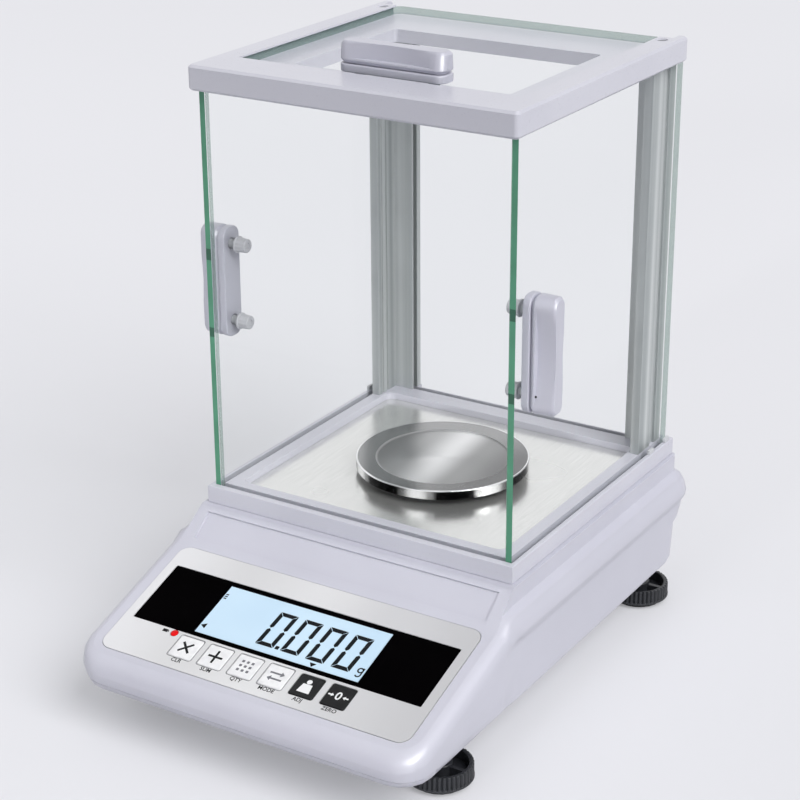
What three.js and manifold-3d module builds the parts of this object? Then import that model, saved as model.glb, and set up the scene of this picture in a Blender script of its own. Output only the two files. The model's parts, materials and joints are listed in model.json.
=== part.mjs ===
// Precision balance with a glass draught shield, in millimetres, +Z up.
// Lengths along Y are measured from the centre of the weighing pan, heights from the floor that the
// feet stand on. The finished group is moved so that its origin is the middle of the footprint.
import * as THREE from 'three';
import { mergeVertices } from 'three/addons/utils/BufferGeometryUtils.js';
import Module from 'manifold-3d';

const wasm = await Module();
wasm.setup();

// Clearances and walls
const fitGap = 0.3;
const cutOverrun = 4;
const weldDistance = 0.0001;

// Heights of the main levels
const groundClearance = 23.8;
const housingHeight = 58.2;
const rimHeight = 9.3;
const glassBayHeight = 204.2;
const topFrameHeight = 12.3;

// Plan of the shield, which the housing and everything on it follow
const rimHalfWidth = 88.2;
const rimFrontY = -85;

// Base housing: outline of the moulded shell
const rearReach = 103.5;
const housingWall = 3;
const neckMargin = 2;
const neckHalfWidth = rimHalfWidth + neckMargin;
const sideBulge = 7.3;
const rearBulge = 10;
const neckRearY = rearReach - rearBulge;
const rearCornerRadius = 15;
const frontCornerRadius = 16;
const facetMargin = 2.6;
const facetTopY = rimFrontY - facetMargin;
const facetLength = 20.1;
const facetSlopeShare = 0.798;
const consoleTopY = facetTopY - facetLength;
const consoleTopDrop = 14.9;
const consoleSlope = 18.2 * Math.PI / 180;
const consoleFrontMargin = 9.38;
const facetBlend = 2.6;
const rollWidth = 6;
const rollDepth = 7;
const seamHeight = 5;
const seamLength = 21;
const floorThickness = 3;

// Recessed panel in the upper front facet
const facetPanelMargin = 5.9;
const facetPanelHalfWidth = neckHalfWidth - facetPanelMargin;
const facetPanelInset = 3.7;
const facetPanelLength = 15.5;
const facetPanelDepth = 1;

// Front panel: overlay, display window, display and keys, measured down the console slope
const overlayMargin = 3.4;
const overlayHalfWidth = neckHalfWidth - overlayMargin;
const overlayCorner = 6;
const overlayThickness = 1.2;
const overlayProud = 0.2;
const pocketDepth = 1.3;
const windowMargin = 5;
const windowHalfWidth = overlayHalfWidth - windowMargin;
const windowTop = 13.4;
const windowBorder = 2.6;
const windowCorner = 0.6;
const windowThickness = 1;
const windowProud = 0.1;
const lcdHalfWidth = 46.7;
const lcdTop = windowTop + windowBorder;
const lcdLength = 33;
const windowLength = lcdLength + 2 * windowBorder;
const lcdBorder = 2.2;
const lcdDepth = 6.8;
const lcdSunk = 0.2;
const keySize = 13.2;
const keyPitch = 17.3;
const keyFirstX = -43.5;
const keyWindowGap = 1.8;
const keyCentre = windowTop + windowLength + keyWindowGap + keySize / 2;
const keyCorner = 1;
const keyProud = 0.5;
const keyDepth = 2.4;
const keyBevel = 0.35;
const captionStrip = 7;
const overlayLength = keyCentre + keySize / 2 + captionStrip;
const ledOffset = 11.4;
const ledX = keyFirstX - ledOffset;
const ledRise = 6.3;
const ledCentre = keyCentre - ledRise;
const ledRadius = 1.9;
const ledHeight = 3.2;
const ledDome = 0.5;
const switchBoardMargin = 9.1;
const switchBoardHalfWidth = switchBoardMargin - ledX;
const switchBoardLength = 18;
const switchBoardThickness = 1.6;

// Front of the housing, which the panel's length sets
const frontReach = consoleFrontMargin + overlayLength * Math.cos(consoleSlope) - consoleTopY;
const seamRearY = seamLength - frontReach;

// Shield base frame round the weighing chamber
const rimRearMargin = 1.2;
const rimArmRearY = neckRearY - rimRearMargin;
const rimCornerStep = 3.7;
const rimCornerRearY = rimArmRearY - rimCornerStep;
const rimMiddleStep = 4;
const rimMiddleRearY = rimCornerRearY - rimMiddleStep;
const rimEdge = 0.6;
const rimWall = 2.3;
const ledgeFrontWidth = 13;
const ledgeFrontY = rimFrontY + ledgeFrontWidth;
const ledgeCorner = 4.5;
const floorPlateDrop = 3.7;
const floorPlateThickness = 1.2;
const plateShelf = 4;
const grooveDepth = 5;

// Glass
const glassThickness = 3;
const topGlassThickness = 4;
const doorOuterX = rimHalfWidth - rimWall - fitGap;
const doorRearGap = 4.8;
const doorRearY = rimArmRearY - doorRearGap;
const frontGlassSetback = 3.8;
const glassFrontY = rimFrontY + frontGlassSetback;
const glassInset = 4.7;
const rearGlassSetback = 4.4;
const rearGlassY = rimMiddleRearY - rearGlassSetback;
const glassTopLap = 3.3;

// Rear posts
const postOuterX = doorOuterX - glassThickness - fitGap;
const postArmThickness = 4.7;
const postWidth = 16;
const postInnerX = postOuterX - postWidth;
const postRearY = doorRearY - fitGap;
const postLength = 25.9;
const postFrontY = postRearY - postLength;
const postSlotLip = 1.7;
const postRearArmY = rearGlassY - postSlotLip;
const postSlotDepth = 4.4;
const postGrooveDepth = 0.8;
const postGrooveWidth = 1.8;
const postFirstGroove = 3.1;
const postSecondGroove = 7.7;
const postOuterGroove = 13.7;
const postOuterGrooveWidth = 5.6;
const postOuterGrooveDepth = 1.4;

// Ledge between the panes and the chamber floor
const ledgeWidth = 6.3;
const ledgeHalfWidth = postOuterX - ledgeWidth;
const ledgeRearWidth = 11.2;
const ledgeRearY = rearGlassY - ledgeRearWidth;

// Top frame
const frameFrontOverhang = 1.8;
const frameFrontY = rimFrontY - frameFrontOverhang;
const frameRearOverhang = 0.2;
const frameRearY = postRearY + frameRearOverhang;
const frameEdge = 1.2;
const frameCorner = 2.4;
const railInnerX = ledgeHalfWidth;
const frontBarWidth = 24.8;
const frontBarRearY = frameFrontY + frontBarWidth;
const webHeight = 6.8;
const sideWebWidth = 17;
const frontWebWidth = 21;
const rearWebWidth = 28.7;
const frameWindowHalfWidth = railInnerX - sideWebWidth;
const frameWindowFrontY = frontBarRearY + frontWebWidth;
const lipSetback = 0.9;
const lipRearY = rearGlassY - lipSetback;
const frameWindowRearY = lipRearY - rearWebWidth;
const frameWindowCorner = 2;
const lipLap = 1.8;
const frameWallThickness = 4.8;
const wallInnerX = rimHalfWidth - frameWallThickness;
const topGlassOverhang = 2.8;
const topGlassRearY = rearGlassY + topGlassOverhang;
const topGlassCorner = 4;
const screwSetback = 11.7;
const frameScrewY = postFrontY + screwSetback;
const screwHeadRadius = 2.7;
const screwHeadHeight = 1.5;
const screwShankRadius = 1.3;
const screwInset = 2;
const screwShankLength = 20;

// Handles
const handleLength = 57;
const handleWidth = 13;
const handleCorner = 5;
const handleBaseThickness = 4.2;
const handleSeam = 0.5;
const gripDepth = 11.6;
const topGripDepth = 9.8;
const gripEdge = 1.4;
const gripTaperShare = 0.25;
const scoopDepth = 3.3;
const scoopLength = 50;
const scoopStart = 2.2;
const scoopSegments = 60;
const handleCentreHeight = 102.1;
const leftHandleSetback = 21.2;
const leftHandleY = glassFrontY + leftHandleSetback;
const rightHandleSetback = 11.7;
const rightHandleY = glassFrontY + rightHandleSetback;
const topHandleX = 6;
const topHandleSetback = 9.6;
const topHandleY = frontBarRearY + topHandleSetback;
const knobSpacing = 40;
const knobRadius = 4.2;
const knobTipRadius = 3.3;
const knobLength = 6.4;
const knobRounding = 1;
const knobDimpleRadius = 1.6;
const knobDimpleDepth = 0.5;
const shankRadius = 2.3;
const shankReach = 2.2;

// Door glides on the rim wall
const glideLength = 5;
const glideWidth = 1.7;
const glideHeight = 2.5;
const glideFrontSetback = 5.2;
const glideFrontY = postFrontY + glideFrontSetback;
const glideRearSetback = 2.3;
const glideRearY = doorRearY - glideRearSetback;

// Weighing pan and its carrier
const panDiameter = 90;
const panHeight = 5;
const panFloorGap = 3.4;
const panDishRadius = 33.5;
const panDishDepth = 1.3;
const panSlopeDrop = 0.6;
const panEdge = 0.35;
const carrierDiscRadius = 25;
const carrierDiscThickness = 2;
const carrierBossRadius = 6;
const carrierBossHeight = 1.2;
const carrierShaftRadius = 4.5;
const carrierFlangeRadius = 9;
const carrierFlangeHeight = 3;
const weighingTravel = 0.5;
const carrierHoleRadius = 7;

// Load cell and its chassis
const cellHalfWidth = 11;
const cellRearY = 15;
const cellLength = 119;
const cellFrontY = cellRearY - cellLength;
const cellHeight = 22;
const cellBoreRadius = 6.5;
const cellBoreSpacing = 16;
const cellSlotHeight = 4;
const chassisHalfWidth = 28;
const chassisFrontMargin = 4;
const chassisFrontY = cellFrontY - chassisFrontMargin;
const chassisRearMargin = 9;
const chassisRearY = cellRearY + chassisRearMargin;
const chassisThickness = 7;
const chassisPadLength = 30;
const cellLift = 2.2;
const stopWidth = 8;
const stopGap = 0.7;

// Feet: places and the bosses that take their studs
const footSideInset = 11.7;
const footX = neckHalfWidth - footSideInset;
const frontFootInset = 52.5;
const frontFootY = frontFootInset - frontReach;
const rearFootInset = 26.5;
const rearFootY = rearReach - rearFootInset;
const footBossRadius = 8;
const footBossHeight = 18.5;
const footBossRoof = 1.5;

// Main board, battery, power inlet, switch and level
const boardSideGap = 23.5;
const boardHalfWidth = footX - boardSideGap;
const boardFrontGap = 24;
const boardFrontY = boardFrontGap - frontReach;
const boardLength = 47;
const boardRearY = boardFrontY + boardLength;
const boardThickness = 1.6;
const standoffRadius = 3;
const standoffHeight = 5;
const standoffInset = 5;
const batteryWidth = 24;
const batteryLength = 97;
const batteryHeight = 44;
const batteryEdge = 1.5;
const batterySideInset = 18.2;
const batteryX = batterySideInset - neckHalfWidth;
const batteryRearGap = 12.5;
const batteryY = rearFootY - footBossRadius - batteryRearGap - batteryLength / 2;
const rearWallInset = 1.7;
const rearWallY = neckRearY - rearWallInset;
const rearFittingInset = 40.2;
const inletX = rearFittingInset - neckHalfWidth;
const inletHeight = 10.2;
const inletRadius = 4;
const inletBore = 2.8;
const inletBodyHalfWidth = 5;
const inletBodyDepth = 12;
const inletPinRadius = 0.9;
const switchX = neckHalfWidth - rearFittingInset;
const switchHeight = 10.6;
const switchBezelHalfWidth = 12;
const switchBezelHalfHeight = 8;
const switchBodyHalfWidth = 10.4;
const switchBodyHalfHeight = 6.6;
const switchBodyDepth = 13;
const bezelThickness = 1.5;
const rockerHalfWidth = 6.6;
const rockerRadius = 5.2;
const rockerWaistShare = 0.66;
const rockerSpan = 0.95;
const rockerRest = -0.12;
const levelRadius = 3.8;
const levelHeight = 4.6;
const levelWall = 0.9;
const levelFloor = 1;
const levelLensDome = 0.7;
const levelLensThickness = 1.6;

// Feet: wheels, pads and studs
const wheelRadius = 16.25;
const wheelHeight = 10.4;
const padRadius = 13.5;
const padHeight = 2;
const wheelFlange = 1.4;
const wheelWall = 2.6;
const wheelSegments = 24;
const hubRadius = 6;
const spokeWidth = 2.2;
const spokeCount = 3;
const wheelFloor = 2.4;
const studRadius = 3.85;
const studReach = 12.2;

// Levels worked out from the heights
const housingBottomZ = groundClearance;
const housingTopZ = housingBottomZ + housingHeight;
const rimTopZ = housingTopZ + rimHeight;
const frameBottomZ = rimTopZ + glassBayHeight;
const frameTopZ = frameBottomZ + topFrameHeight;
const webTopZ = frameBottomZ + webHeight;
const floorTopZ = housingBottomZ + floorThickness;
const plateTopZ = rimTopZ - floorPlateDrop;
const consoleTopZ = housingTopZ - consoleTopDrop;
const panBottomZ = plateTopZ + panFloorGap;
const panTopZ = panBottomZ + panHeight;
const cellBottomZ = floorTopZ + chassisThickness + cellLift;
const cellTopZ = cellBottomZ + cellHeight;

// Small helpers that every piece uses

function toSolid(geometry) {
  const plain = geometry.clone();
  plain.deleteAttribute('normal');
  plain.deleteAttribute('uv');
  const merged = mergeVertices(plain, weldDistance);
  const mesh = new wasm.Mesh({
    numProp: 3,
    vertProperties: new Float32Array(merged.attributes.position.array),
    triVerts: new Uint32Array(merged.index.array),
  });
  return new wasm.Manifold(mesh);
}

function toGeometry(solid) {
  const mesh = solid.getMesh();
  const geometry = new THREE.BufferGeometry();
  geometry.setAttribute('position', new THREE.BufferAttribute(new Float32Array(mesh.vertProperties), 3));
  geometry.setIndex(new THREE.BufferAttribute(new Uint32Array(mesh.triVerts), 1));
  const flat = geometry.toNonIndexed();
  flat.computeVertexNormals();
  return flat;
}

function cut(base, ...cutters) {
  return cutters.reduce((solid, cutter) => solid.subtract(cutter), base);
}

function join(base, ...pieces) {
  return pieces.reduce((solid, piece) => solid.add(piece), base);
}

// A rounded rectangle in the XY plane, between two corners
function roundedPlan(x0, y0, x1, y1, radius) {
  const shape = new THREE.Shape();
  if (radius <= 0) {
    shape.moveTo(x0, y0);
    shape.lineTo(x1, y0);
    shape.lineTo(x1, y1);
    shape.lineTo(x0, y1);
    return shape;
  }
  const quarter = Math.PI / 2;
  shape.absarc(x1 - radius, y0 + radius, radius, -quarter, 0);
  shape.absarc(x1 - radius, y1 - radius, radius, 0, quarter);
  shape.absarc(x0 + radius, y1 - radius, radius, quarter, 2 * quarter);
  shape.absarc(x0 + radius, y0 + radius, radius, 2 * quarter, 3 * quarter);
  return shape;
}

function outline(points) {
  const shape = new THREE.Shape();
  points.forEach(([x, y], index) => (index ? shape.lineTo(x, y) : shape.moveTo(x, y)));
  return shape;
}

// Extrudes a plan upwards between two heights; edge rounds its top and bottom edges
function slab(shape, z0, z1, edge = 0, curveSegments = 3, bevelSegments = 2) {
  const options = { depth: z1 - z0 - 2 * edge, curveSegments, bevelEnabled: edge > 0 };
  if (edge > 0) {
    Object.assign(options, { bevelThickness: edge, bevelSize: edge, bevelOffset: -edge, bevelSegments });
  }
  return new THREE.ExtrudeGeometry(shape, options).translate(0, 0, z0 + edge);
}

function block(x0, x1, y0, y1, z0, z1) {
  const box = new THREE.BoxGeometry(x1 - x0, y1 - y0, z1 - z0);
  return box.translate((x0 + x1) / 2, (y0 + y1) / 2, (z0 + z1) / 2);
}

// Turns a profile of [radius, height] points round the Z axis
function turned(points, segments) {
  const profile = points.map(([radius, height]) => new THREE.Vector2(radius, height));
  return new THREE.LatheGeometry(profile, segments).rotateX(Math.PI / 2);
}

function rod(radius, z0, z1, segments = 20) {
  return turned([[0, z0], [radius, z0], [radius, z1], [0, z1]], segments);
}

// Extrudes a profile drawn in the YZ plane along X
function alongX(points, x0, x1) {
  const extruded = new THREE.ExtrudeGeometry(outline(points), { depth: x1 - x0, bevelEnabled: false });
  const axes = new THREE.Matrix4().set(0, 0, 1, x0, 1, 0, 0, 0, 0, 1, 0, 0, 0, 0, 0, 1);
  return extruded.applyMatrix4(axes);
}

function mix(a, b, share) {
  return a + (b - a) * share;
}

function steps(count) {
  return Array.from({ length: count }, (unused, index) => index);
}

// Base housing: a lofted shell. Each ring has one place on the rear profile, where the neck, the
// shoulder and the bumper are, and one on the console profile, where the flat top rolls into the side.
// rear: out of the neck wall, height below the top, out of the rear wall, corner radius
// front: out along the roll, height below the roll's top or, past the roll, towards the underside
const ringShares = [
  { rear: [0, 0, 0, 0.2], roll: [0, 0], past: 0, corner: 0.62 },
  { rear: [0, 0.155, 0, 0.2], roll: [0.12, 0.02], past: 0, corner: 0.66 },
  { rear: [0.17, 0.172, 0.15, 0.35], roll: [0.38, 0.08], past: 0, corner: 0.76 },
  { rear: [0.5, 0.186, 0.42, 0.6], roll: [0.62, 0.2], past: 0, corner: 0.85 },
  { rear: [0.68, 0.2, 0.6, 0.8], roll: [0.8, 0.36], past: 0, corner: 0.92 },
  { rear: [0.88, 0.262, 0.89, 0.95], roll: [0.93, 0.6], past: 0, corner: 0.97 },
  { rear: [1, 0.34, 1, 1], roll: [1, 1], past: 0, corner: 1 },
  { rear: [0.96, 0.385, 0.99, 1], roll: [1, 1], past: 0.08, corner: 1 },
  { rear: [0.76, 0.425, 0.93, 1], roll: [0.98, 1], past: 0.16, corner: 1 },
  { rear: [0.7, 0.47, 0.85, 0.97], roll: [0.95, 1], past: 0.24, corner: 1 },
  { rear: [0.68, 0.585, 0.35, 0.9], roll: [0.9, 1], past: 0.45, corner: 1 },
  { rear: [0.66, 0.615, -0.1, 0.87], roll: [0.86, 1], past: 0.56, corner: 1 },
  { rear: [0.57, 0.955, -0.22, 0.85], roll: [0.6, 1], past: 0.86, corner: 0.92 },
  { rear: [0.43, 1, -0.31, 0.8], roll: [0.1, 1], past: 1, corner: 0.8 },
];
const cavitySkips = [1, 3, 5, 7];
const rearStations = 2;
const facetStationShares = [0.3, 0.6, 0.76, 0.82, 0.88, 0.94, 1];
const consoleStations = 2;
const cornerStations = 4;

// Height of the housing's top surface: flat, then the steep facet, then the console plane
function topSurfaceZ(y) {
  const facet = housingTopZ + (y - facetTopY) * facetSlopeShare;
  const console = consoleTopZ + (y - consoleTopY) * Math.tan(consoleSlope);
  const slopeStep = facetSlopeShare - Math.tan(consoleSlope);
  const meetY = (housingTopZ - facetTopY * facetSlopeShare - consoleTopZ + consoleTopY * Math.tan(consoleSlope))
    / -slopeStep;
  const away = Math.min(Math.abs(y - meetY), facetBlend);
  const blend = slopeStep * (facetBlend - away) ** 2 / (4 * facetBlend);
  return Math.min(housingTopZ, Math.max(facet, console) + blend);
}

function ringPoint(ring, x, y, share, inset) {
  const rearZ = housingTopZ - ring.rear[1] * housingHeight;
  const rollZ = topSurfaceZ(y) - ring.roll[1] * rollDepth;
  const frontZ = mix(rollZ, housingBottomZ, ring.past);
  const z = share > 0 ? Math.min(rearZ, frontZ) : rearZ;
  return [x, y, Math.max(z - inset, housingBottomZ)];
}

// One half of a ring, from the middle of the rear wall round to the middle of the front
function halfRing(ring, inset) {
  const [out, , rearOut, rearCorner] = ring.rear;
  const rearX = neckHalfWidth + out * sideBulge - inset;
  const flatHalfWidth = neckHalfWidth + sideBulge - rollWidth;
  const frontX = flatHalfWidth + ring.roll[0] * rollWidth - inset;
  const rearY = neckRearY + rearOut * rearBulge - inset;
  const frontY = -(frontReach - rollWidth + ring.roll[0] * rollWidth) + inset;
  const rearRadius = rearCornerRadius * rearCorner;
  const frontRadius = frontCornerRadius * ring.corner;
  const points = [];
  for (const step of steps(cornerStations + 1)) {
    const angle = Math.PI / 2 * (1 - step / cornerStations);
    const x = rearX - rearRadius + rearRadius * Math.cos(angle);
    points.push(ringPoint(ring, x, rearY - rearRadius + rearRadius * Math.sin(angle), 0, inset));
  }
  for (const step of steps(rearStations)) {
    const y = mix(rearY - rearRadius, facetTopY, (step + 1) / rearStations);
    points.push(ringPoint(ring, rearX, y, 0, inset));
  }
  for (const share of facetStationShares) {
    points.push(ringPoint(ring, mix(rearX, frontX, share), mix(facetTopY, consoleTopY, share), share, inset));
  }
  for (const step of steps(consoleStations)) {
    const y = mix(consoleTopY, frontY + frontRadius, (step + 1) / consoleStations);
    points.push(ringPoint(ring, frontX, y, 1, inset));
  }
  for (const step of steps(cornerStations)) {
    const angle = Math.PI / 2 * (step + 1) / cornerStations;
    const x = frontX - frontRadius + frontRadius * Math.cos(angle);
    points.push(ringPoint(ring, x, frontY + frontRadius - frontRadius * Math.sin(angle), 1, inset));
  }
  return points;
}

// The whole form; inset shrinks it for the cavity, which skips the finest rings and whose foot is
// carried down past the underside
function housingForm(inset) {
  const used = ringShares.filter((ring, index) => inset === 0 || !cavitySkips.includes(index));
  const rings = used.map((ring) => halfRing(ring, inset));
  if (inset > 0) {
    rings.push(rings[rings.length - 1].map(([x, y]) => [x, y, housingBottomZ - cutOverrun]));
  }
  const half = rings[0].length;
  const round = 2 * half;
  const positions = [];
  for (const points of rings) {
    const mirrored = points.map(([x, y, z]) => [-x, y, z]).reverse();
    positions.push(...points.flat(), ...mirrored.flat());
  }
  const faces = [];
  for (const ring of steps(rings.length - 1)) {
    for (const step of steps(round)) {
      const a = ring * round + step;
      const b = ring * round + (step + 1) % round;
      faces.push(a, b, a + round, b, b + round, a + round);
    }
  }
  const last = (rings.length - 1) * round;
  for (const step of steps(half - 1)) {
    const opposite = round - 1 - step;
    faces.push(step, opposite, step + 1, step + 1, opposite, opposite - 1);
    faces.push(last + step, last + step + 1, last + opposite);
    faces.push(last + step + 1, last + opposite - 1, last + opposite);
  }
  const geometry = new THREE.BufferGeometry();
  geometry.setAttribute('position', new THREE.Float32BufferAttribute(positions, 3));
  geometry.setIndex(faces);
  return toSolid(geometry);
}

// Places a geometry drawn on the console or the facet: x across, -y down the slope, z outwards
function onConsole(geometry) {
  return toSolid(geometry.rotateX(consoleSlope).translate(0, consoleTopY, consoleTopZ));
}

function onFacet(geometry) {
  return toSolid(geometry.rotateX(Math.atan(facetSlopeShare)).translate(0, facetTopY, housingTopZ));
}

function plateOnSlope(x0, x1, top, length, radius, low, high) {
  return slab(roundedPlan(x0, -top - length, x1, -top, radius), low, high);
}

const keyNames = ['key_clear', 'key_add', 'key_count', 'key_unit', 'key_calibrate', 'key_tare'];
const keyXs = steps(keyNames.length).map((index) => keyFirstX + index * keyPitch);
const keyRowHalf = keySize / 2 + 2 * fitGap;
const footPlaces = [
  { name: 'front_left', x: -footX, y: frontFootY },
  { name: 'front_right', x: footX, y: frontFootY },
  { name: 'rear_left', x: -footX, y: rearFootY },
  { name: 'rear_right', x: footX, y: rearFootY },
];

function panelCutters() {
  const pocket = plateOnSlope(-overlayHalfWidth - fitGap, overlayHalfWidth + fitGap, -fitGap,
    overlayLength + 2 * fitGap, overlayCorner + fitGap, -pocketDepth, cutOverrun);
  const displayHalf = lcdHalfWidth + lcdBorder + fitGap;
  const display = plateOnSlope(-displayHalf, displayHalf, lcdTop - lcdBorder - fitGap,
    lcdLength + 2 * (lcdBorder + fitGap), 0, -pocketDepth - cutOverrun, cutOverrun);
  const keysTop = lcdTop + lcdLength + lcdBorder;
  const keysBottom = keyCentre + keyRowHalf;
  const keysLeft = ledX - ledRadius - 2 * fitGap;
  const keysRight = keyXs[keyXs.length - 1] + keyRowHalf;
  const keys = plateOnSlope(keysLeft, keysRight, keysTop, keysBottom - keysTop, 0,
    -pocketDepth - cutOverrun, cutOverrun);
  return [pocket, display, keys].map(onConsole);
}

function facetPanelCutter() {
  return onFacet(plateOnSlope(-facetPanelHalfWidth, facetPanelHalfWidth, facetPanelInset,
    facetPanelLength, 0, -facetPanelDepth, cutOverrun));
}

function rearWallCutters() {
  const inletZ = housingBottomZ + inletHeight;
  const inlet = rod(inletRadius + fitGap, -cutOverrun, cutOverrun).rotateX(Math.PI / 2);
  const switchZ = housingBottomZ + switchHeight;
  const halfWidth = switchBodyHalfWidth + fitGap;
  const halfHeight = switchBodyHalfHeight + fitGap;
  const opening = block(switchX - halfWidth, switchX + halfWidth, rearWallY - cutOverrun,
    rearWallY + cutOverrun, switchZ - halfHeight, switchZ + halfHeight);
  return [toSolid(inlet.translate(inletX, rearWallY, inletZ)), toSolid(opening)];
}

function upperHousing() {
  const shell = housingForm(0).subtract(housingForm(housingWall));
  const reach = 2 * frontReach;
  const lip = toSolid(block(-reach, reach, -reach, seamRearY, 0, housingBottomZ + seamHeight));
  const carrierHole = toSolid(rod(carrierHoleRadius, housingTopZ - housingWall - cutOverrun,
    housingTopZ + cutOverrun));
  return toGeometry(cut(shell, lip, carrierHole, facetPanelCutter(), ...panelCutters(),
    ...rearWallCutters()));
}

// The tray closes the underside inside the walls and turns up into the front lip below the seam
function lowerHousing() {
  const reach = 2 * frontReach;
  const lipBox = toSolid(block(-reach, reach, -reach, seamRearY - fitGap, 0,
    housingBottomZ + seamHeight - fitGap));
  const cavity = housingForm(housingWall);
  const hollow = cavity.intersect(toSolid(block(-reach, reach, -reach, reach, floorTopZ,
    housingTopZ + cutOverrun)));
  const lip = housingForm(0).intersect(lipBox).subtract(hollow);
  const plate = housingForm(housingWall + fitGap).intersect(toSolid(block(-reach, reach, -reach, reach,
    housingBottomZ, floorTopZ)));
  const bosses = footPlaces.map(({ x, y }) => toSolid(
    rod(footBossRadius, housingBottomZ, housingBottomZ + footBossHeight, 16).translate(x, y, 0)));
  const holes = footPlaces.map(({ x, y }) => toSolid(
    rod(studRadius + fitGap, housingBottomZ - cutOverrun, housingBottomZ + footBossHeight - footBossRoof, 16)
      .translate(x, y, 0)));
  const standoffs = [-1, 1].flatMap((side) => [boardFrontY + standoffInset, boardRearY - standoffInset].map(
    (y) => toSolid(rod(standoffRadius, housingBottomZ, floorTopZ + standoffHeight, 16)
      .translate(side * (boardHalfWidth - standoffInset), y, 0))));
  return toGeometry(cut(join(plate, lip, ...bosses, ...standoffs), ...holes));
}

// Front panel pieces, drawn in the console's own frame

function panelOverlay() {
  const sheet = toSolid(plateOnSlope(-overlayHalfWidth, overlayHalfWidth, 0, overlayLength, overlayCorner,
    overlayProud - overlayThickness, overlayProud));
  const window = toSolid(plateOnSlope(-windowHalfWidth, windowHalfWidth, windowTop, windowLength, windowCorner,
    -cutOverrun, cutOverrun));
  const half = keySize / 2 + fitGap;
  const keyHoles = keyXs.map((x) => toSolid(plateOnSlope(x - half, x + half, keyCentre - half, 2 * half,
    keyCorner + fitGap, -cutOverrun, cutOverrun)));
  const ledHole = toSolid(rod(ledRadius + fitGap, -cutOverrun, cutOverrun, 16).translate(ledX, -ledCentre, 0));
  return toGeometry(cut(sheet, window, ledHole, ...keyHoles));
}

function displayWindow() {
  const sheet = toSolid(plateOnSlope(fitGap - windowHalfWidth, windowHalfWidth - fitGap, windowTop + fitGap,
    windowLength - 2 * fitGap, windowCorner, windowProud - windowThickness, windowProud));
  const view = toSolid(plateOnSlope(-lcdHalfWidth, lcdHalfWidth, lcdTop, lcdLength, 0,
    -cutOverrun, cutOverrun));
  return toGeometry(cut(sheet, view));
}

function lcdModule() {
  const top = windowProud - windowThickness - fitGap;
  const half = lcdHalfWidth + lcdBorder;
  const body = toSolid(plateOnSlope(-half, half, lcdTop - lcdBorder, lcdLength + 2 * lcdBorder, 0,
    top - lcdDepth, top));
  const face = toSolid(plateOnSlope(fitGap - lcdHalfWidth, lcdHalfWidth - fitGap, lcdTop + fitGap,
    lcdLength - 2 * fitGap, 0, top - lcdDepth / 2, windowProud - lcdSunk));
  return toGeometry(join(body, face));
}

function keyCap() {
  const half = keySize / 2;
  return slab(roundedPlan(-half, -half, half, half, keyCorner), keyProud - keyDepth, keyProud, keyBevel, 2, 1);
}

function chargeLed() {
  const top = overlayProud + ledDome;
  return turned([[0, top - ledHeight], [ledRadius, top - ledHeight], [ledRadius, overlayProud],
    [ledRadius * Math.SQRT1_2, mix(overlayProud, top, Math.SQRT1_2)], [0, top]], 16);
}

function keySwitchBoard() {
  const top = -housingWall - fitGap;
  const start = lcdTop + lcdLength + lcdBorder + fitGap;
  return plateOnSlope(-switchBoardHalfWidth, switchBoardHalfWidth, start, switchBoardLength, 0,
    top - switchBoardThickness, top);
}

// Weighing chamber

function rimPlan() {
  const corner = postInnerX;
  return outline([
    [-rimHalfWidth, rimFrontY], [rimHalfWidth, rimFrontY], [rimHalfWidth, rimArmRearY],
    [postOuterX - postArmThickness, rimArmRearY], [postOuterX - postArmThickness, rimCornerRearY],
    [corner, rimCornerRearY], [corner, rimMiddleRearY],
    [-corner, rimMiddleRearY], [-corner, rimCornerRearY],
    [postArmThickness - postOuterX, rimCornerRearY], [postArmThickness - postOuterX, rimArmRearY],
    [-rimHalfWidth, rimArmRearY],
  ]);
}

// Slots that the panes stand in, from the face at z and depth tall towards up, 1 or -1
function glassSlots(z, up, depth) {
  const low = Math.min(z - up * cutOverrun, z + up * depth);
  const high = Math.max(z - up * cutOverrun, z + up * depth);
  const inner = doorOuterX - glassThickness - fitGap;
  const outer = doorOuterX + fitGap;
  const doors = [-1, 1].map((side) => block(Math.min(side * inner, side * outer),
    Math.max(side * inner, side * outer), glassFrontY - fitGap, 2 * rimArmRearY, low, high));
  const front = block(-inner - fitGap, inner + fitGap, glassFrontY - fitGap,
    glassFrontY + glassThickness + fitGap, low, high);
  const rearHalf = postInnerX + postSlotDepth;
  const rear = block(-rearHalf, rearHalf, rearGlassY - fitGap, rearGlassY + glassThickness + fitGap, low, high);
  return [...doors, front, rear].map(toSolid);
}

function shieldBaseFrame() {
  const body = toSolid(slab(rimPlan(), housingTopZ, rimTopZ, rimEdge));
  const well = toSolid(slab(roundedPlan(-ledgeHalfWidth, ledgeFrontY, ledgeHalfWidth, ledgeRearY, ledgeCorner),
    plateTopZ - floorPlateThickness, rimTopZ + cutOverrun));
  const throughHalf = ledgeHalfWidth - plateShelf;
  const through = toSolid(slab(roundedPlan(-throughHalf, ledgeFrontY + plateShelf, throughHalf,
    ledgeRearY - plateShelf, ledgeCorner), housingTopZ - cutOverrun, rimTopZ));
  return toGeometry(cut(body, well, through, ...glassSlots(rimTopZ, -1, grooveDepth)));
}

function chamberFloorPlate() {
  const plate = toSolid(slab(roundedPlan(fitGap - ledgeHalfWidth, ledgeFrontY + fitGap, ledgeHalfWidth - fitGap,
    ledgeRearY - fitGap, ledgeCorner - fitGap), plateTopZ - floorPlateThickness, plateTopZ));
  return toGeometry(cut(plate, toSolid(rod(carrierHoleRadius, plateTopZ - cutOverrun, plateTopZ + cutOverrun))));
}

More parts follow.
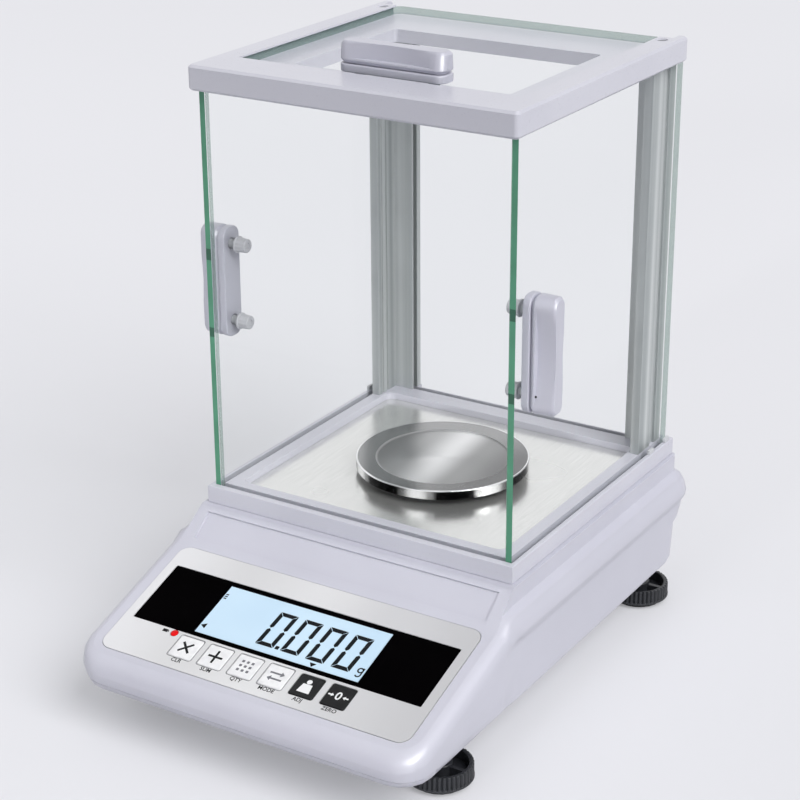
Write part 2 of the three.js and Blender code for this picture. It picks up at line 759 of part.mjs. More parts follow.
function weighingPan() {
  const radius = panDiameter / 2;
  const socket = carrierBossRadius + fitGap;
  const socketTop = panBottomZ + carrierBossHeight + fitGap;
  return turned([
    [0, socketTop], [socket, socketTop], [socket, panBottomZ], [radius - panEdge, panBottomZ],
    [radius, panBottomZ + panEdge], [radius, panTopZ - panEdge], [radius - panEdge, panTopZ],
    [panDishRadius + panDishDepth, panTopZ - panSlopeDrop], [panDishRadius, panTopZ - panDishDepth],
    [0, panTopZ - panDishDepth],
  ], 40);
}

function panCarrier() {
  const flangeZ = cellTopZ + weighingTravel + fitGap;
  const discZ = panBottomZ - carrierDiscThickness;
  return turned([
    [0, flangeZ], [carrierFlangeRadius, flangeZ], [carrierFlangeRadius, flangeZ + carrierFlangeHeight],
    [carrierShaftRadius, flangeZ + 2 * carrierFlangeHeight], [carrierShaftRadius, discZ],
    [carrierDiscRadius, discZ], [carrierDiscRadius, panBottomZ], [carrierBossRadius, panBottomZ],
    [carrierBossRadius, panBottomZ + carrierBossHeight], [0, panBottomZ + carrierBossHeight],
  ], 20);
}

// Load cell: an aluminium beam thinned by two joined bores, fixed at the front, carrying at the rear
function loadCell() {
  const midY = (cellFrontY + cellRearY) / 2;
  const midZ = (cellBottomZ + cellTopZ) / 2;
  const beam = toSolid(block(-cellHalfWidth, cellHalfWidth, cellFrontY, cellRearY, cellBottomZ, cellTopZ));
  const bores = [-1, 1].map((side) => toSolid(
    rod(cellBoreRadius, -cellHalfWidth - cutOverrun, cellHalfWidth + cutOverrun, 20)
      .rotateY(Math.PI / 2).translate(0, midY + side * cellBoreSpacing / 2, midZ)));
  const slot = toSolid(block(-cellHalfWidth - cutOverrun, cellHalfWidth + cutOverrun,
    midY - cellBoreSpacing / 2, midY + cellBoreSpacing / 2, midZ - cellSlotHeight / 2,
    midZ + cellSlotHeight / 2));
  return toGeometry(cut(beam, ...bores, slot));
}

function loadCellChassis() {
  const bedZ = floorTopZ + chassisThickness;
  const stopZ = cellBottomZ - stopGap;
  return alongX([
    [chassisFrontY, floorTopZ], [chassisRearY, floorTopZ], [chassisRearY, bedZ],
    [cellRearY, bedZ], [cellRearY, stopZ], [cellRearY - stopWidth, stopZ], [cellRearY - stopWidth, bedZ],
    [cellFrontY + chassisPadLength, bedZ], [cellFrontY + chassisPadLength, cellBottomZ],
    [chassisFrontY, cellBottomZ],
  ], -chassisHalfWidth, chassisHalfWidth);
}

function mainBoard() {
  const z = floorTopZ + standoffHeight;
  return block(-boardHalfWidth, boardHalfWidth, boardFrontY, boardRearY, z, z + boardThickness);
}

function batteryPack() {
  const plan = roundedPlan(batteryX - batteryWidth / 2, batteryY - batteryLength / 2,
    batteryX + batteryWidth / 2, batteryY + batteryLength / 2, 2 * batteryEdge);
  return slab(plan, floorTopZ, floorTopZ + batteryHeight, batteryEdge, 2);
}

function powerJack() {
  const backY = rearWallY - housingWall - 2 * fitGap;
  const body = toSolid(block(-inletBodyHalfWidth, inletBodyHalfWidth, backY - inletBodyDepth, backY,
    -inletBodyHalfWidth, inletBodyHalfWidth));
  const barrel = toSolid(rod(inletRadius, backY - fitGap, rearWallY + fitGap, 20).rotateX(-Math.PI / 2));
  const bore = toSolid(rod(inletBore, backY - inletBodyDepth / 2, rearWallY + cutOverrun, 16)
    .rotateX(-Math.PI / 2));
  const pin = toSolid(rod(inletPinRadius, backY - inletBodyDepth * 3 / 4, rearWallY - fitGap, 8)
    .rotateX(-Math.PI / 2));
  return toGeometry(body.add(barrel).subtract(bore).add(pin));
}

function powerSwitchBody() {
  const faceY = rearWallY + 3 * fitGap;
  const halfZ = rockerRadius + fitGap;
  const halfX = rockerHalfWidth + fitGap;
  const body = toSolid(block(-switchBodyHalfWidth, switchBodyHalfWidth, faceY - switchBodyDepth, faceY,
    -switchBodyHalfHeight, switchBodyHalfHeight));
  const bezel = toSolid(slab(roundedPlan(-switchBezelHalfWidth, -switchBezelHalfHeight, switchBezelHalfWidth,
    switchBezelHalfHeight, bezelThickness), 0, bezelThickness).rotateX(-Math.PI / 2)
    .translate(0, faceY, 0));
  const hollow = toSolid(block(-halfX, halfX, faceY - 2 * rockerRadius, faceY + cutOverrun, -halfZ, halfZ));
  return toGeometry(body.add(bezel).subtract(hollow));
}

// The rocker turns about its own origin: round behind, with a shallow V of two finger faces in front
function powerRocker() {
  const arc = steps(9).map((step) => {
    const angle = mix(rockerSpan, 2 * Math.PI - rockerSpan, step / 8);
    return [rockerRadius * Math.cos(angle), rockerRadius * Math.sin(angle)];
  });
  const points = [...arc, [rockerRadius * rockerWaistShare, 0]];
  return alongX(points, -rockerHalfWidth, rockerHalfWidth);
}

function levelBody() {
  const top = housingTopZ + levelHeight;
  const inner = levelRadius - levelWall;
  return turned([[0, housingTopZ], [levelRadius, housingTopZ], [levelRadius, top], [inner, top],
    [inner, housingTopZ + levelFloor], [0, housingTopZ + levelFloor]], 16);
}

function levelLens() {
  const top = housingTopZ + levelHeight;
  const inner = levelRadius - levelWall - fitGap;
  return turned([[0, top - levelLensThickness], [inner, top - levelLensThickness], [inner, top],
    [inner / 2, top + levelLensDome * 3 / 4], [0, top + levelLensDome]], 16);
}

// Glass panes

function standingPane(x0, x1, y0, y1) {
  return block(x0, x1, y0, y1, rimTopZ - glassInset, frameBottomZ + glassTopLap);
}

function doorPane(side) {
  const outer = side * doorOuterX;
  const inner = side * (doorOuterX - glassThickness);
  const pane = toSolid(standingPane(Math.min(inner, outer), Math.max(inner, outer), glassFrontY, doorRearY));
  const y = side < 0 ? leftHandleY : rightHandleY;
  const holes = knobHeights().map((z) => toSolid(
    rod(shankRadius + fitGap, -doorOuterX - cutOverrun, doorOuterX + cutOverrun, 16)
      .rotateY(Math.PI / 2).translate(0, y, z)));
  return toGeometry(cut(pane, ...holes));
}

function knobHeights() {
  const middle = rimTopZ + handleCentreHeight;
  return [middle + knobSpacing / 2, middle - knobSpacing / 2];
}

function frontPane() {
  const half = doorOuterX - glassThickness - fitGap;
  return standingPane(-half, half, glassFrontY, glassFrontY + glassThickness);
}

function rearPane() {
  const half = postInnerX + postSlotDepth - fitGap;
  return standingPane(-half, half, rearGlassY, rearGlassY + glassThickness);
}

function topPane() {
  const half = railInnerX + lipLap - fitGap;
  const plan = roundedPlan(-half, frontBarRearY + fitGap, half, topGlassRearY, topGlassCorner);
  const pane = toSolid(slab(plan, webTopZ + fitGap, webTopZ + fitGap + topGlassThickness));
  const holes = [-1, 1].map((side) => toSolid(
    rod(shankRadius + fitGap, webTopZ - cutOverrun, frameTopZ + cutOverrun, 16)
      .translate(topHandleX + side * knobSpacing / 2, topHandleY, 0)));
  return toGeometry(cut(pane, ...holes));
}

// Rear posts: L-shaped aluminium extrusions, drawn for the right-hand side
function postPlan() {
  const armX = postOuterX - postArmThickness;
  const grooveX = armX + postGrooveDepth;
  const slotX = postInnerX + postSlotDepth;
  const slotFrontY = rearGlassY - fitGap;
  const slotRearY = rearGlassY + glassThickness + fitGap;
  const outerGrooveX = postOuterX - postOuterGrooveDepth;
  const outerGrooveY = postFrontY + postOuterGroove;
  const innerGrooves = [postSecondGroove, postFirstGroove].flatMap((offset) => {
    const y = postFrontY + offset;
    return [[armX, y + postGrooveWidth], [grooveX, y + postGrooveWidth], [grooveX, y], [armX, y]];
  });
  return [
    [armX, postFrontY], [postOuterX, postFrontY], [postOuterX, outerGrooveY],
    [outerGrooveX, outerGrooveY], [outerGrooveX, outerGrooveY + postOuterGrooveWidth],
    [postOuterX, outerGrooveY + postOuterGrooveWidth], [postOuterX, postRearY],
    [postInnerX, postRearY], [postInnerX, slotRearY], [slotX, slotRearY], [slotX, slotFrontY],
    [postInnerX, slotFrontY], [postInnerX, postRearArmY], [armX, postRearArmY], ...innerGrooves,
  ];
}

const screwX = postOuterX - screwInset;

function rearPost(side) {
  const points = postPlan().map(([x, y]) => [side * x, y]);
  const ordered = side < 0 ? points.reverse() : points;
  const post = toSolid(slab(outline(ordered), rimTopZ, frameBottomZ));
  const hole = toSolid(rod(screwShankRadius + fitGap, frameTopZ - screwShankLength - fitGap,
    frameBottomZ + cutOverrun, 12).translate(side * screwX, frameScrewY, 0));
  return toGeometry(cut(post, hole));
}

// Top frame

function topFrame() {
  const plan = roundedPlan(-rimHalfWidth, frameFrontY, rimHalfWidth, frameRearY, frameCorner);
  const body = toSolid(slab(plan, frameBottomZ, frameTopZ, frameEdge, 3, 1));
  const above = frameTopZ + cutOverrun;
  const behind = 2 * frameRearY;
  const bay = toSolid(block(-railInnerX, railInnerX, frontBarRearY, behind, webTopZ, above));
  const slotHalf = railInnerX + lipLap;
  const slotTop = webTopZ + topGlassThickness + 2 * fitGap;
  const slot = toSolid(block(-slotHalf, slotHalf, frontBarRearY, behind, webTopZ, slotTop));
  const tail = toSolid(block(-wallInnerX, wallInnerX, lipRearY, behind, webTopZ, above));
  const window = toSolid(slab(roundedPlan(-frameWindowHalfWidth, frameWindowFrontY, frameWindowHalfWidth,
    frameWindowRearY, frameWindowCorner), frameBottomZ - cutOverrun, above));
  const screws = [-1, 1].map((side) => toSolid(turned([
    [0, frameBottomZ - cutOverrun], [screwShankRadius + fitGap, frameBottomZ - cutOverrun],
    [screwShankRadius + fitGap, frameTopZ - screwHeadHeight - fitGap],
    [screwHeadRadius + fitGap, frameTopZ - fitGap], [screwHeadRadius + fitGap, above], [0, above],
  ], 16).translate(side * screwX, frameScrewY, 0)));
  return toGeometry(cut(body, bay, slot, tail, window, ...screws,
    ...glassSlots(frameBottomZ, 1, glassTopLap + fitGap)));
}

function frameScrew() {
  const head = frameTopZ - 2 * fitGap;
  return turned([
    [0, frameTopZ - screwShankLength], [screwShankRadius, frameTopZ - screwShankLength],
    [screwShankRadius, head - screwHeadHeight], [screwHeadRadius, head], [0, head],
  ], 16);
}

// Handles, drawn lying in the XY plane with Z pointing away from the glass

function handlePlan(inset = 0) {
  const halfLength = handleLength / 2 - inset;
  const halfWidth = handleWidth / 2 - inset;
  return roundedPlan(-halfWidth, -halfLength, halfWidth, halfLength, handleCorner - inset);
}

function handleBase() {
  const plate = toSolid(slab(handlePlan(), fitGap, handleBaseThickness));
  const sockets = [-1, 1].map((side) => toSolid(
    rod(shankRadius + fitGap, -cutOverrun, shankReach + 2 * fitGap, 16)
      .translate(0, side * knobSpacing / 2, 0)));
  return toGeometry(cut(plate, ...sockets));
}

// The top handle has no room for knobs below the glass, so its base has two pegs that fill the holes
function topHandleBase() {
  const plate = toSolid(slab(handlePlan(), fitGap, handleBaseThickness));
  const pegs = [-1, 1].map((side) => toSolid(
    rod(shankRadius, -topGlassThickness, handleBaseThickness / 2, 16)
      .translate(0, side * knobSpacing / 2, 0)));
  return toGeometry(join(plate, ...pegs));
}

function handleGrip(depth) {
  const start = handleBaseThickness + handleSeam;
  const end = start + depth;
  const grip = slab(handlePlan(), start, end, gripEdge, 3, 1);
  const places = grip.attributes.position;
  for (const index of steps(places.count)) {
    const share = (places.getZ(index) - start) / depth;
    places.setX(index, places.getX(index) * (1 - gripTaperShare * share));
  }
  const halfScoop = scoopLength / 2;
  const scoopRadius = (halfScoop ** 2 + scoopDepth ** 2) / (2 * scoopDepth);
  const reach = handleWidth / 2 - scoopDepth + scoopRadius;
  const scoops = [-1, 1].map((side) => toSolid(
    rod(scoopRadius, start + scoopStart, end + cutOverrun, scoopSegments).translate(side * reach, 0, 0)));
  const neck = toSolid(slab(handlePlan(gripEdge), start - handleSeam + fitGap, start + gripEdge));
  return toGeometry(join(cut(toSolid(grip), ...scoops), neck));
}

function handleKnob() {
  const collar = -glassThickness - fitGap;
  const end = collar - knobLength;
  return turned([
    [0, end + knobDimpleDepth], [knobDimpleRadius, end], [knobTipRadius, end],
    [knobRadius, end + knobRounding], [knobRadius, collar], [shankRadius, collar],
    [shankRadius, shankReach], [0, shankReach],
  ], 16);
}

// Feet: knurled levelling wheels on threaded studs, each on a rubber pad that does not turn

function footWheel() {
  const low = padHeight + fitGap;
  const body = toSolid(turned([
    [0, low], [wheelRadius - wheelFlange / 2, low], [wheelRadius, low + wheelFlange / 2],
    [wheelRadius, wheelHeight], [wheelRadius - wheelWall, wheelHeight],
    [wheelRadius - wheelWall, low + wheelFloor], [hubRadius, low + wheelFloor],
    [hubRadius, wheelHeight], [studRadius, wheelHeight],
    [studRadius, housingBottomZ + studReach], [0, housingBottomZ + studReach],
  ], wheelSegments));
  const spokes = steps(spokeCount).map((index) => toSolid(
    block(hubRadius - wheelFlange, wheelRadius - wheelWall / 2, -spokeWidth / 2, spokeWidth / 2,
      low + wheelFloor / 2, wheelHeight - wheelFlange).rotateZ(2 * Math.PI * index / spokeCount)));
  return toGeometry(join(body, ...spokes));
}

function footPad() {
  return turned([[0, 0], [padRadius - padHeight / 3, 0], [padRadius, padHeight / 3], [padRadius, padHeight],
    [0, padHeight]], 20);
}

function doorGlide() {
  const halfWidth = glideWidth / 2;
  const halfLength = glideLength / 2;
  return slab(roundedPlan(-halfWidth, -halfLength, halfWidth, halfLength, halfWidth / 2),
    rimTopZ, rimTopZ + glideHeight, 0, 2);
}

// Materials

function material(color, roughness, metalness, extra = {}) {
  return new THREE.MeshStandardMaterial({ color, roughness, metalness, ...extra });
}

const materials = {
  shell: () => material(0xc8c8d4, 0.45, 0),
  overlay: () => material(0xdcdcde, 0.3, 0.2),
  windowBlack: () => material(0x060607, 0.25, 0),
  lcd: () => material(0xd0e7f6, 0.4, 0),
  keyLight: () => material(0xe2e2e4, 0.35, 0),
  keyDark: () => material(0x101012, 0.3, 0),
  redLamp: () => material(0xe01818, 0.3, 0),
  circuitBoard: () => material(0x1d6b3a, 0.6, 0),
  frameGrey: () => material(0xb9bec9, 0.45, 0),
  floorSteel: () => material(0xd9dcdc, 0.3, 0.6),
  polishedSteel: () => material(0xb8b8ba, 0.15, 1),
  aluminium: () => material(0xa9aeb2, 0.4, 0.9),
  battery: () => material(0x2a2b2e, 0.6, 0),
  blackPlastic: () => material(0x17181b, 0.5, 0),
  glass: () => material(0xbfe3d4, 0.05, 0, { transparent: true, opacity: 0.3 }),
  rubber: () => material(0x26272b, 0.85, 0),
  footPlastic: () => material(0x2f3136, 0.6, 0),
  clearPlastic: () => material(0xd8e8c0, 0.1, 0, { transparent: true, opacity: 0.6 }),
  whitePlastic: () => material(0xe6e8ea, 0.4, 0),
};

function piece(name, geometry, finish) {
  const mesh = new THREE.Mesh(geometry, materials[finish]());
  mesh.name = name;
  return mesh;
}

// Assembly

function baseAssembly() {
  const base = new THREE.Group();
  base.add(
    piece('upper_housing', upperHousing(), 'shell'),
    piece('lower_housing', lowerHousing(), 'shell'),
    piece('shield_base_frame', shieldBaseFrame(), 'frameGrey'),
    piece('chamber_floor_plate', chamberFloorPlate(), 'floorSteel'),
    piece('load_cell', loadCell(), 'aluminium'),
    piece('load_cell_chassis', loadCellChassis(), 'aluminium'),
    piece('main_board', mainBoard(), 'circuitBoard'),
    piece('battery_pack', batteryPack(), 'battery'),
    piece('weighing_pan', weighingPan(), 'polishedSteel'),
    piece('pan_carrier', panCarrier(), 'aluminium'),
  );
  const levelY = (rimMiddleRearY + neckRearY) / 2;
  const level = new THREE.Group();
  level.position.y = levelY;
  level.add(piece('level_body', levelBody(), 'blackPlastic'), piece('level_lens', levelLens(), 'clearPlastic'));
  base.add(level, rearFittings());
  return base;
}

function rearFittings() {
  const fittings = new THREE.Group();
  const jack = piece('power_jack', powerJack(), 'blackPlastic');
  jack.position.set(inletX, 0, housingBottomZ + inletHeight);
  const body = piece('power_switch_body', powerSwitchBody(), 'blackPlastic');
  body.position.set(switchX, 0, housingBottomZ + switchHeight);
  const rocker = piece('power_rocker', powerRocker(), 'blackPlastic');
  rocker.position.set(switchX, rearWallY, housingBottomZ + switchHeight);
  rocker.rotation.x = rockerRest;
  fittings.add(jack, body, rocker);
  return fittings;
}

function frontPanel() {
  const panel = new THREE.Group();
  panel.position.set(0, consoleTopY, consoleTopZ);
  panel.rotation.x = consoleSlope;
  const led = piece('charge_led', chargeLed(), 'redLamp');
  led.position.set(ledX, -ledCentre, 0);
  panel.add(
    piece('panel_overlay', panelOverlay(), 'overlay'),
    piece('display_window', displayWindow(), 'windowBlack'),
    piece('lcd_module', lcdModule(), 'lcd'),
    piece('key_switch_board', keySwitchBoard(), 'circuitBoard'),
    led,
  );
  const darkFrom = keyNames.indexOf('key_calibrate');
  keyNames.forEach((name, index) => {
    const key = piece(name, keyCap(), index < darkFrom ? 'keyLight' : 'keyDark');
    key.position.set(keyXs[index], -keyCentre, 0);
    panel.add(key);
  });
  return panel;
}

function glassShield() {
  const shield = new THREE.Group();
  shield.add(
    piece('front_glass', frontPane(), 'glass'),
    piece('rear_glass', rearPane(), 'glass'),
    piece('left_door_glass', doorPane(-1), 'glass'),
    piece('right_door_glass', doorPane(1), 'glass'),
    piece('top_door_glass', topPane(), 'glass'),
    piece('left_rear_post', rearPost(-1), 'aluminium'),
    piece('right_rear_post', rearPost(1), 'aluminium'),
    piece('top_frame', topFrame(), 'frameGrey'),
  );
  const wallX = (doorOuterX + fitGap + rimHalfWidth) / 2;
  for (const [sideName, side] of [['left', -1], ['right', 1]]) {
    const screw = piece(`${sideName}_frame_screw`, frameScrew(), 'polishedSteel');
    screw.position.set(side * screwX, frameScrewY, 0);
    shield.add(screw);
    for (const [endName, y] of [['front', glideFrontY], ['rear', glideRearY]]) {
      const glide = piece(`${sideName}_${endName}_glide`, doorGlide(), 'whitePlastic');
      glide.position.set(side * wallX, y, 0);
      shield.add(glide);
    }
  }
  return shield;
}

function sideHandle(sideName, side) {
  const handle = new THREE.Group();
  handle.position.set(side * doorOuterX, side < 0 ? leftHandleY : rightHandleY, rimTopZ + handleCentreHeight);
  handle.rotation.set(Math.PI / 2, side * Math.PI / 2, 0);
  handle.add(
    piece(`${sideName}_handle_base`, handleBase(), 'shell'),
    piece(`${sideName}_handle_grip`, handleGrip(gripDepth), 'shell'),
  );
  for (const [endName, end] of [['upper', 1], ['lower', -1]]) {
    const knob = piece(`${sideName}_${endName}_knob`, handleKnob(), 'shell');
    knob.position.y = end * knobSpacing / 2;
    handle.add(knob);
  }
  return handle;
}

function topHandle() {
  const handle = new THREE.Group();
  handle.position.set(topHandleX, topHandleY, webTopZ + fitGap + topGlassThickness);
  handle.rotation.z = Math.PI / 2;
  handle.add(
    piece('top_handle_base', topHandleBase(), 'shell'),
    piece('top_handle_grip', handleGrip(topGripDepth), 'shell'),
  );
  return handle;
}

function feet() {
  const group = new THREE.Group();
  for (const { name, x, y } of footPlaces) {
    const foot = new THREE.Group();
    foot.position.set(x, y, 0);
    foot.add(
      piece(`${name}_foot_wheel`, footWheel(), 'footPlastic'),
      piece(`${name}_foot_pad`, footPad(), 'rubber'),
    );
    group.add(foot);
  }
  return group;
}

function balance() {
  const group = new THREE.Group();
  group.position.y = (frontReach - rearReach) / 2;
  group.add(baseAssembly(), frontPanel(), glassShield());
  group.add(sideHandle('left', -1), sideHandle('right', 1), topHandle(), feet());
  return group;
}

export default balance();
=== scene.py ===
import json
import math

import bmesh
import bpy
from mathutils import Matrix, Vector
from mathutils.bvhtree import BVHTree


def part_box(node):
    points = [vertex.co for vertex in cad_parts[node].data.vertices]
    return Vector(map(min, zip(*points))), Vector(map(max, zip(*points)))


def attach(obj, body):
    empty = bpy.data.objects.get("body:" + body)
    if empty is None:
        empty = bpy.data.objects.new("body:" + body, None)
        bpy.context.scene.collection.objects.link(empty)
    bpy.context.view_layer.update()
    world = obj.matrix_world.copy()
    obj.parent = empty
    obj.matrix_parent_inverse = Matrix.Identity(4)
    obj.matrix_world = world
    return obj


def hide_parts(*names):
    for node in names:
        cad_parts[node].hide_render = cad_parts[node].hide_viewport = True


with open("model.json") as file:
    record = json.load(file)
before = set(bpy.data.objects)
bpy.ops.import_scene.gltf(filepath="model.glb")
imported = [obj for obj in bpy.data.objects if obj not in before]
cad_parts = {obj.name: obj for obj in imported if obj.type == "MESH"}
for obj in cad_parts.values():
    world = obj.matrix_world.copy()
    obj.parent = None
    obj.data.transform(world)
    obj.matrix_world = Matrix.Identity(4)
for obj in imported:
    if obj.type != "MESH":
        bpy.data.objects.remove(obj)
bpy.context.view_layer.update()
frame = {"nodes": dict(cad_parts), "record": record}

MM = 0.001
FRAME_NODES = frame["nodes"]
SUBPARTS = frame["record"]["subparts"]
JOINTS = {joint["name"]: joint for joint in frame["record"]["behaviour"]["joints"]}
SIDES = ("left", "right")


def mm(*values):
    return Vector(values) * MM


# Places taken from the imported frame, in millimetres

def node_box(node):
    low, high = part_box(node)
    return low / MM, high / MM


def node_centre(node):
    low, high = node_box(node)
    return (low + high) / 2


PAN_LOW, PAN_HIGH = node_box("weighing_pan")
PAN_CENTRE = node_centre("weighing_pan")
PAN_RADIUS = (PAN_HIGH.x - PAN_LOW.x) / 2
OVERLAY_HIGH = node_box("panel_overlay")[1]
OVERLAY_OUT = 0.2
OVERLAY_UNDERSIDE = 1.0
LCD_OUT = -0.1
KEY_OUT = 0.5
PRESS_AXIS = JOINTS["key_clear_press"]["axis"]
SLOPE = math.atan2(PRESS_AXIS[1], -PRESS_AXIS[2])
CONSOLE_Y = OVERLAY_HIGH.y - OVERLAY_UNDERSIDE * math.sin(SLOPE)
CONSOLE_Z = OVERLAY_HIGH.z - OVERLAY_OUT * math.cos(SLOPE)
KNOB_HEIGHTS = [node_centre(f"left_{end}_knob").z for end in ("lower", "upper")]
KNOB_HOLE = 2.6


def on_console(x, down, out):
    """A point of the console: x across it, down its slope and out of its surface."""
    return Vector((x, CONSOLE_Y - down * math.cos(SLOPE) - out * math.sin(SLOPE),
                   CONSOLE_Z - down * math.sin(SLOPE) + out * math.cos(SLOPE)))


def console_place(node):
    """How far across and down the console slope a node's centre lies."""
    centre = node_centre(node)
    return centre.x, (CONSOLE_Y - centre.y) * math.cos(SLOPE) + (CONSOLE_Z - centre.z) * math.sin(SLOPE)


# Colours, and the shader nodes that the materials share

NOISE_SPAN = (0.3, 0.7)


def linear(*srgb):
    values = []
    for value in srgb:
        share = value / 255
        values.append(share / 12.92 if share <= 0.04045 else ((share + 0.055) / 1.055) ** 2.4)
    return tuple(values) + (1.0,)


def level(value, blue=1.0):
    """A grey that is already linear, with its blue a little apart."""
    return (value, value, value * blue, 1.0)


def grey_stops(pairs):
    return [(position, linear(value, value, value)) for position, value in pairs]


def between(low, high):
    """Stops for a noise, which seldom leaves its middle span."""
    return list(zip(NOISE_SPAN, (low, high)))


def new_material(name):
    material = bpy.data.materials.new(name)
    material.use_nodes = True
    tree = material.node_tree
    return material, tree.nodes, tree.links, tree.nodes["Principled BSDF"]


def feed(links, sockets, values):
    """Gives each socket its value: another node's output, or a plain number or colour."""
    for socket, value in zip(sockets, values):
        if isinstance(value, bpy.types.NodeSocket):
            links.new(value, socket)
        else:
            socket.default_value = value


def object_place(nodes):
    return nodes.new("ShaderNodeTexCoord").outputs["Object"]


def coordinates(nodes, links, scale=(1, 1, 1)):
    mapping = nodes.new("ShaderNodeMapping")
    mapping.inputs["Scale"].default_value = scale
    links.new(object_place(nodes), mapping.inputs["Vector"])
    return mapping.outputs["Vector"]


def split_axes(nodes, links, vector):
    node = nodes.new("ShaderNodeSeparateXYZ")
    links.new(vector, node.inputs["Vector"])
    return node.outputs


def noise(nodes, links, vector, scale, detail=3):
    node = nodes.new("ShaderNodeTexNoise")
    node.inputs["Scale"].default_value = scale
    node.inputs["Detail"].default_value = detail
    links.new(vector, node.inputs["Vector"])
    return node.outputs["Fac"]


def mapped(nodes, links, value, source, target):
    node = nodes.new("ShaderNodeMapRange")
    node.inputs["From Min"].default_value, node.inputs["From Max"].default_value = source
    node.inputs["To Min"].default_value, node.inputs["To Max"].default_value = target
    links.new(value, node.inputs["Value"])
    return node.outputs["Result"]


def calculated(nodes, links, operation, first, second=0):
    node = nodes.new("ShaderNodeMath")
    node.operation = operation
    feed(links, node.inputs, (first, second))
    return node.outputs["Value"]


def vectored(nodes, links, operation, first, second=(0, 0, 0)):
    node = nodes.new("ShaderNodeVectorMath")
    node.operation = operation
    feed(links, node.inputs, (first, second))
    return node.outputs


def ramp(nodes, links, share, stops, interpolation="LINEAR"):
    """The colour that the stops give for a share."""
    node = nodes.new("ShaderNodeValToRGB")
    node.color_ramp.interpolation = interpolation
    elements = node.color_ramp.elements
    while len(elements) < len(stops):
        elements.new(0.5)
    for element, (position, colour) in zip(elements, stops):
        element.position = position
        element.color = colour
    links.new(share, node.inputs["Fac"])
    return node.outputs["Color"]


def mixed(nodes, links, share, first, second):
    node = nodes.new("ShaderNodeMixShader")
    feed(links, node.inputs, (share, first, second))
    return node.outputs["Shader"]


def blended(nodes, links, share, first, second, blend="MIX"):
    node = nodes.new("ShaderNodeMixRGB")
    node.blend_type = blend
    feed(links, node.inputs, (share, first, second))
    return node.outputs["Color"]


def bump(nodes, links, height, shader, strength, distance):
    node = nodes.new("ShaderNodeBump")
    node.inputs["Strength"].default_value = strength
    node.inputs["Distance"].default_value = distance
    links.new(height, node.inputs["Height"])
    links.new(node.outputs["Normal"], shader.inputs["Normal"])


# Moulded, cast and painted surfaces

GRAIN_BUMP = 0.35
COAT_ROUGHNESS = 0.08


def grained(name, low, high, rough_low, rough_high, grain=900, depth=3e-5, patches=14, metallic=0.0,
            stretch=(1, 1, 1), specular=0.5, coat=0.0, streaked=False):
    """A moulded, cast or painted surface: slow colour patches, and a fine grain in gloss and height."""
    material, nodes, links, shader = new_material(name)
    plain = coordinates(nodes, links)
    along = coordinates(nodes, links, stretch)
    spots = noise(nodes, links, along if streaked else plain, patches, 2)
    colour = ramp(nodes, links, spots, between(linear(*low), linear(*high)))
    links.new(colour, shader.inputs["Base Color"])
    fine = noise(nodes, links, along, grain, 4)
    links.new(mapped(nodes, links, fine, NOISE_SPAN, (rough_low, rough_high)), shader.inputs["Roughness"])
    bump(nodes, links, fine, shader, GRAIN_BUMP, depth)
    shader.inputs["Metallic"].default_value = metallic
    shader.inputs["Specular IOR Level"].default_value = specular
    if coat:
        shader.inputs["Coat Weight"].default_value = coat
        shader.inputs["Coat Roughness"].default_value = COAT_ROUGHNESS
    return material


# Turned metal of the pan

RING_GRAIN = 2600
RING_BUMP = 0.04
RING_DEPTH = 1e-5
RING_TONE = 0.97
SPECKLE_GRAIN = 40
SPECKLE_SHARES = (0.8, 1.25)


def round_place(waves, turn):
    """A share that swings waves times round the piece's axis, highest at the angle turn, for painted
    reflection bands.
    """
    def share(nodes, links):
        axes = split_axes(nodes, links, object_place(nodes))
        angle = calculated(nodes, links, "ARCTAN2", axes["Y"], axes["X"])
        turned = calculated(nodes, links, "SUBTRACT", angle, math.radians(turn))
        swing = calculated(nodes, links, "COSINE", calculated(nodes, links, "MULTIPLY", turned, waves))
        return mapped(nodes, links, swing, (-1, 1), (0, 1))
    return share


def across_place(direction, reach):
    """A share from one side of the piece to the other, along the level angle direction, for a painted
    streak of reflection.
    """
    def share(nodes, links):
        angle = math.radians(direction)
        way = (math.cos(angle), math.sin(angle), 0)
        along = vectored(nodes, links, "DOT_PRODUCT", object_place(nodes), way)["Value"]
        return mapped(nodes, links, along, (-reach * MM, reach * MM), (0, 1))
    return share


def turned_rings(nodes, links, here):
    """Fine rings round the piece's own origin."""
    flat = vectored(nodes, links, "MULTIPLY", here, (1, 1, 0))["Vector"]
    rings = nodes.new("ShaderNodeTexNoise")
    rings.noise_dimensions = "1D"
    rings.inputs["Scale"].default_value = RING_GRAIN
    rings.inputs["Detail"].default_value = 3
    links.new(vectored(nodes, links, "LENGTH", flat)["Value"], rings.inputs["W"])
    return rings.outputs["Fac"]


def turned_metal(name, painted_reflection_greys, rough, place, brushed=0):
    """Metal turned on a lathe: its fine rings, and painted reflection bands and sheen in its colour,
    swinging round or across it.
    """
    material, nodes, links, shader = new_material(name)
    here = object_place(nodes)
    rings = turned_rings(nodes, links, here)
    # Painted sheen: the stops paint light and dark reflection bands into the base colour.
    sheen = ramp(nodes, links, place(nodes, links), grey_stops(painted_reflection_greys), "EASE")
    tone = ramp(nodes, links, rings, between(level(RING_TONE), level(1)))
    links.new(blended(nodes, links, 1, sheen, tone, "MULTIPLY"), shader.inputs["Base Color"])
    bump(nodes, links, rings, shader, RING_BUMP, RING_DEPTH)
    shader.inputs["Metallic"].default_value = 1.0
    speckle = noise(nodes, links, here, SPECKLE_GRAIN)
    span = [rough * share for share in SPECKLE_SHARES]
    links.new(mapped(nodes, links, speckle, (0, 1), span), shader.inputs["Roughness"])
    if brushed:
        tangent = nodes.new("ShaderNodeTangent")
        tangent.direction_type = "RADIAL"
        tangent.axis = "Z"
        shader.inputs["Anisotropic"].default_value = brushed
        links.new(tangent.outputs["Tangent"], shader.inputs["Tangent"])
    return material


# Float glass of the shield

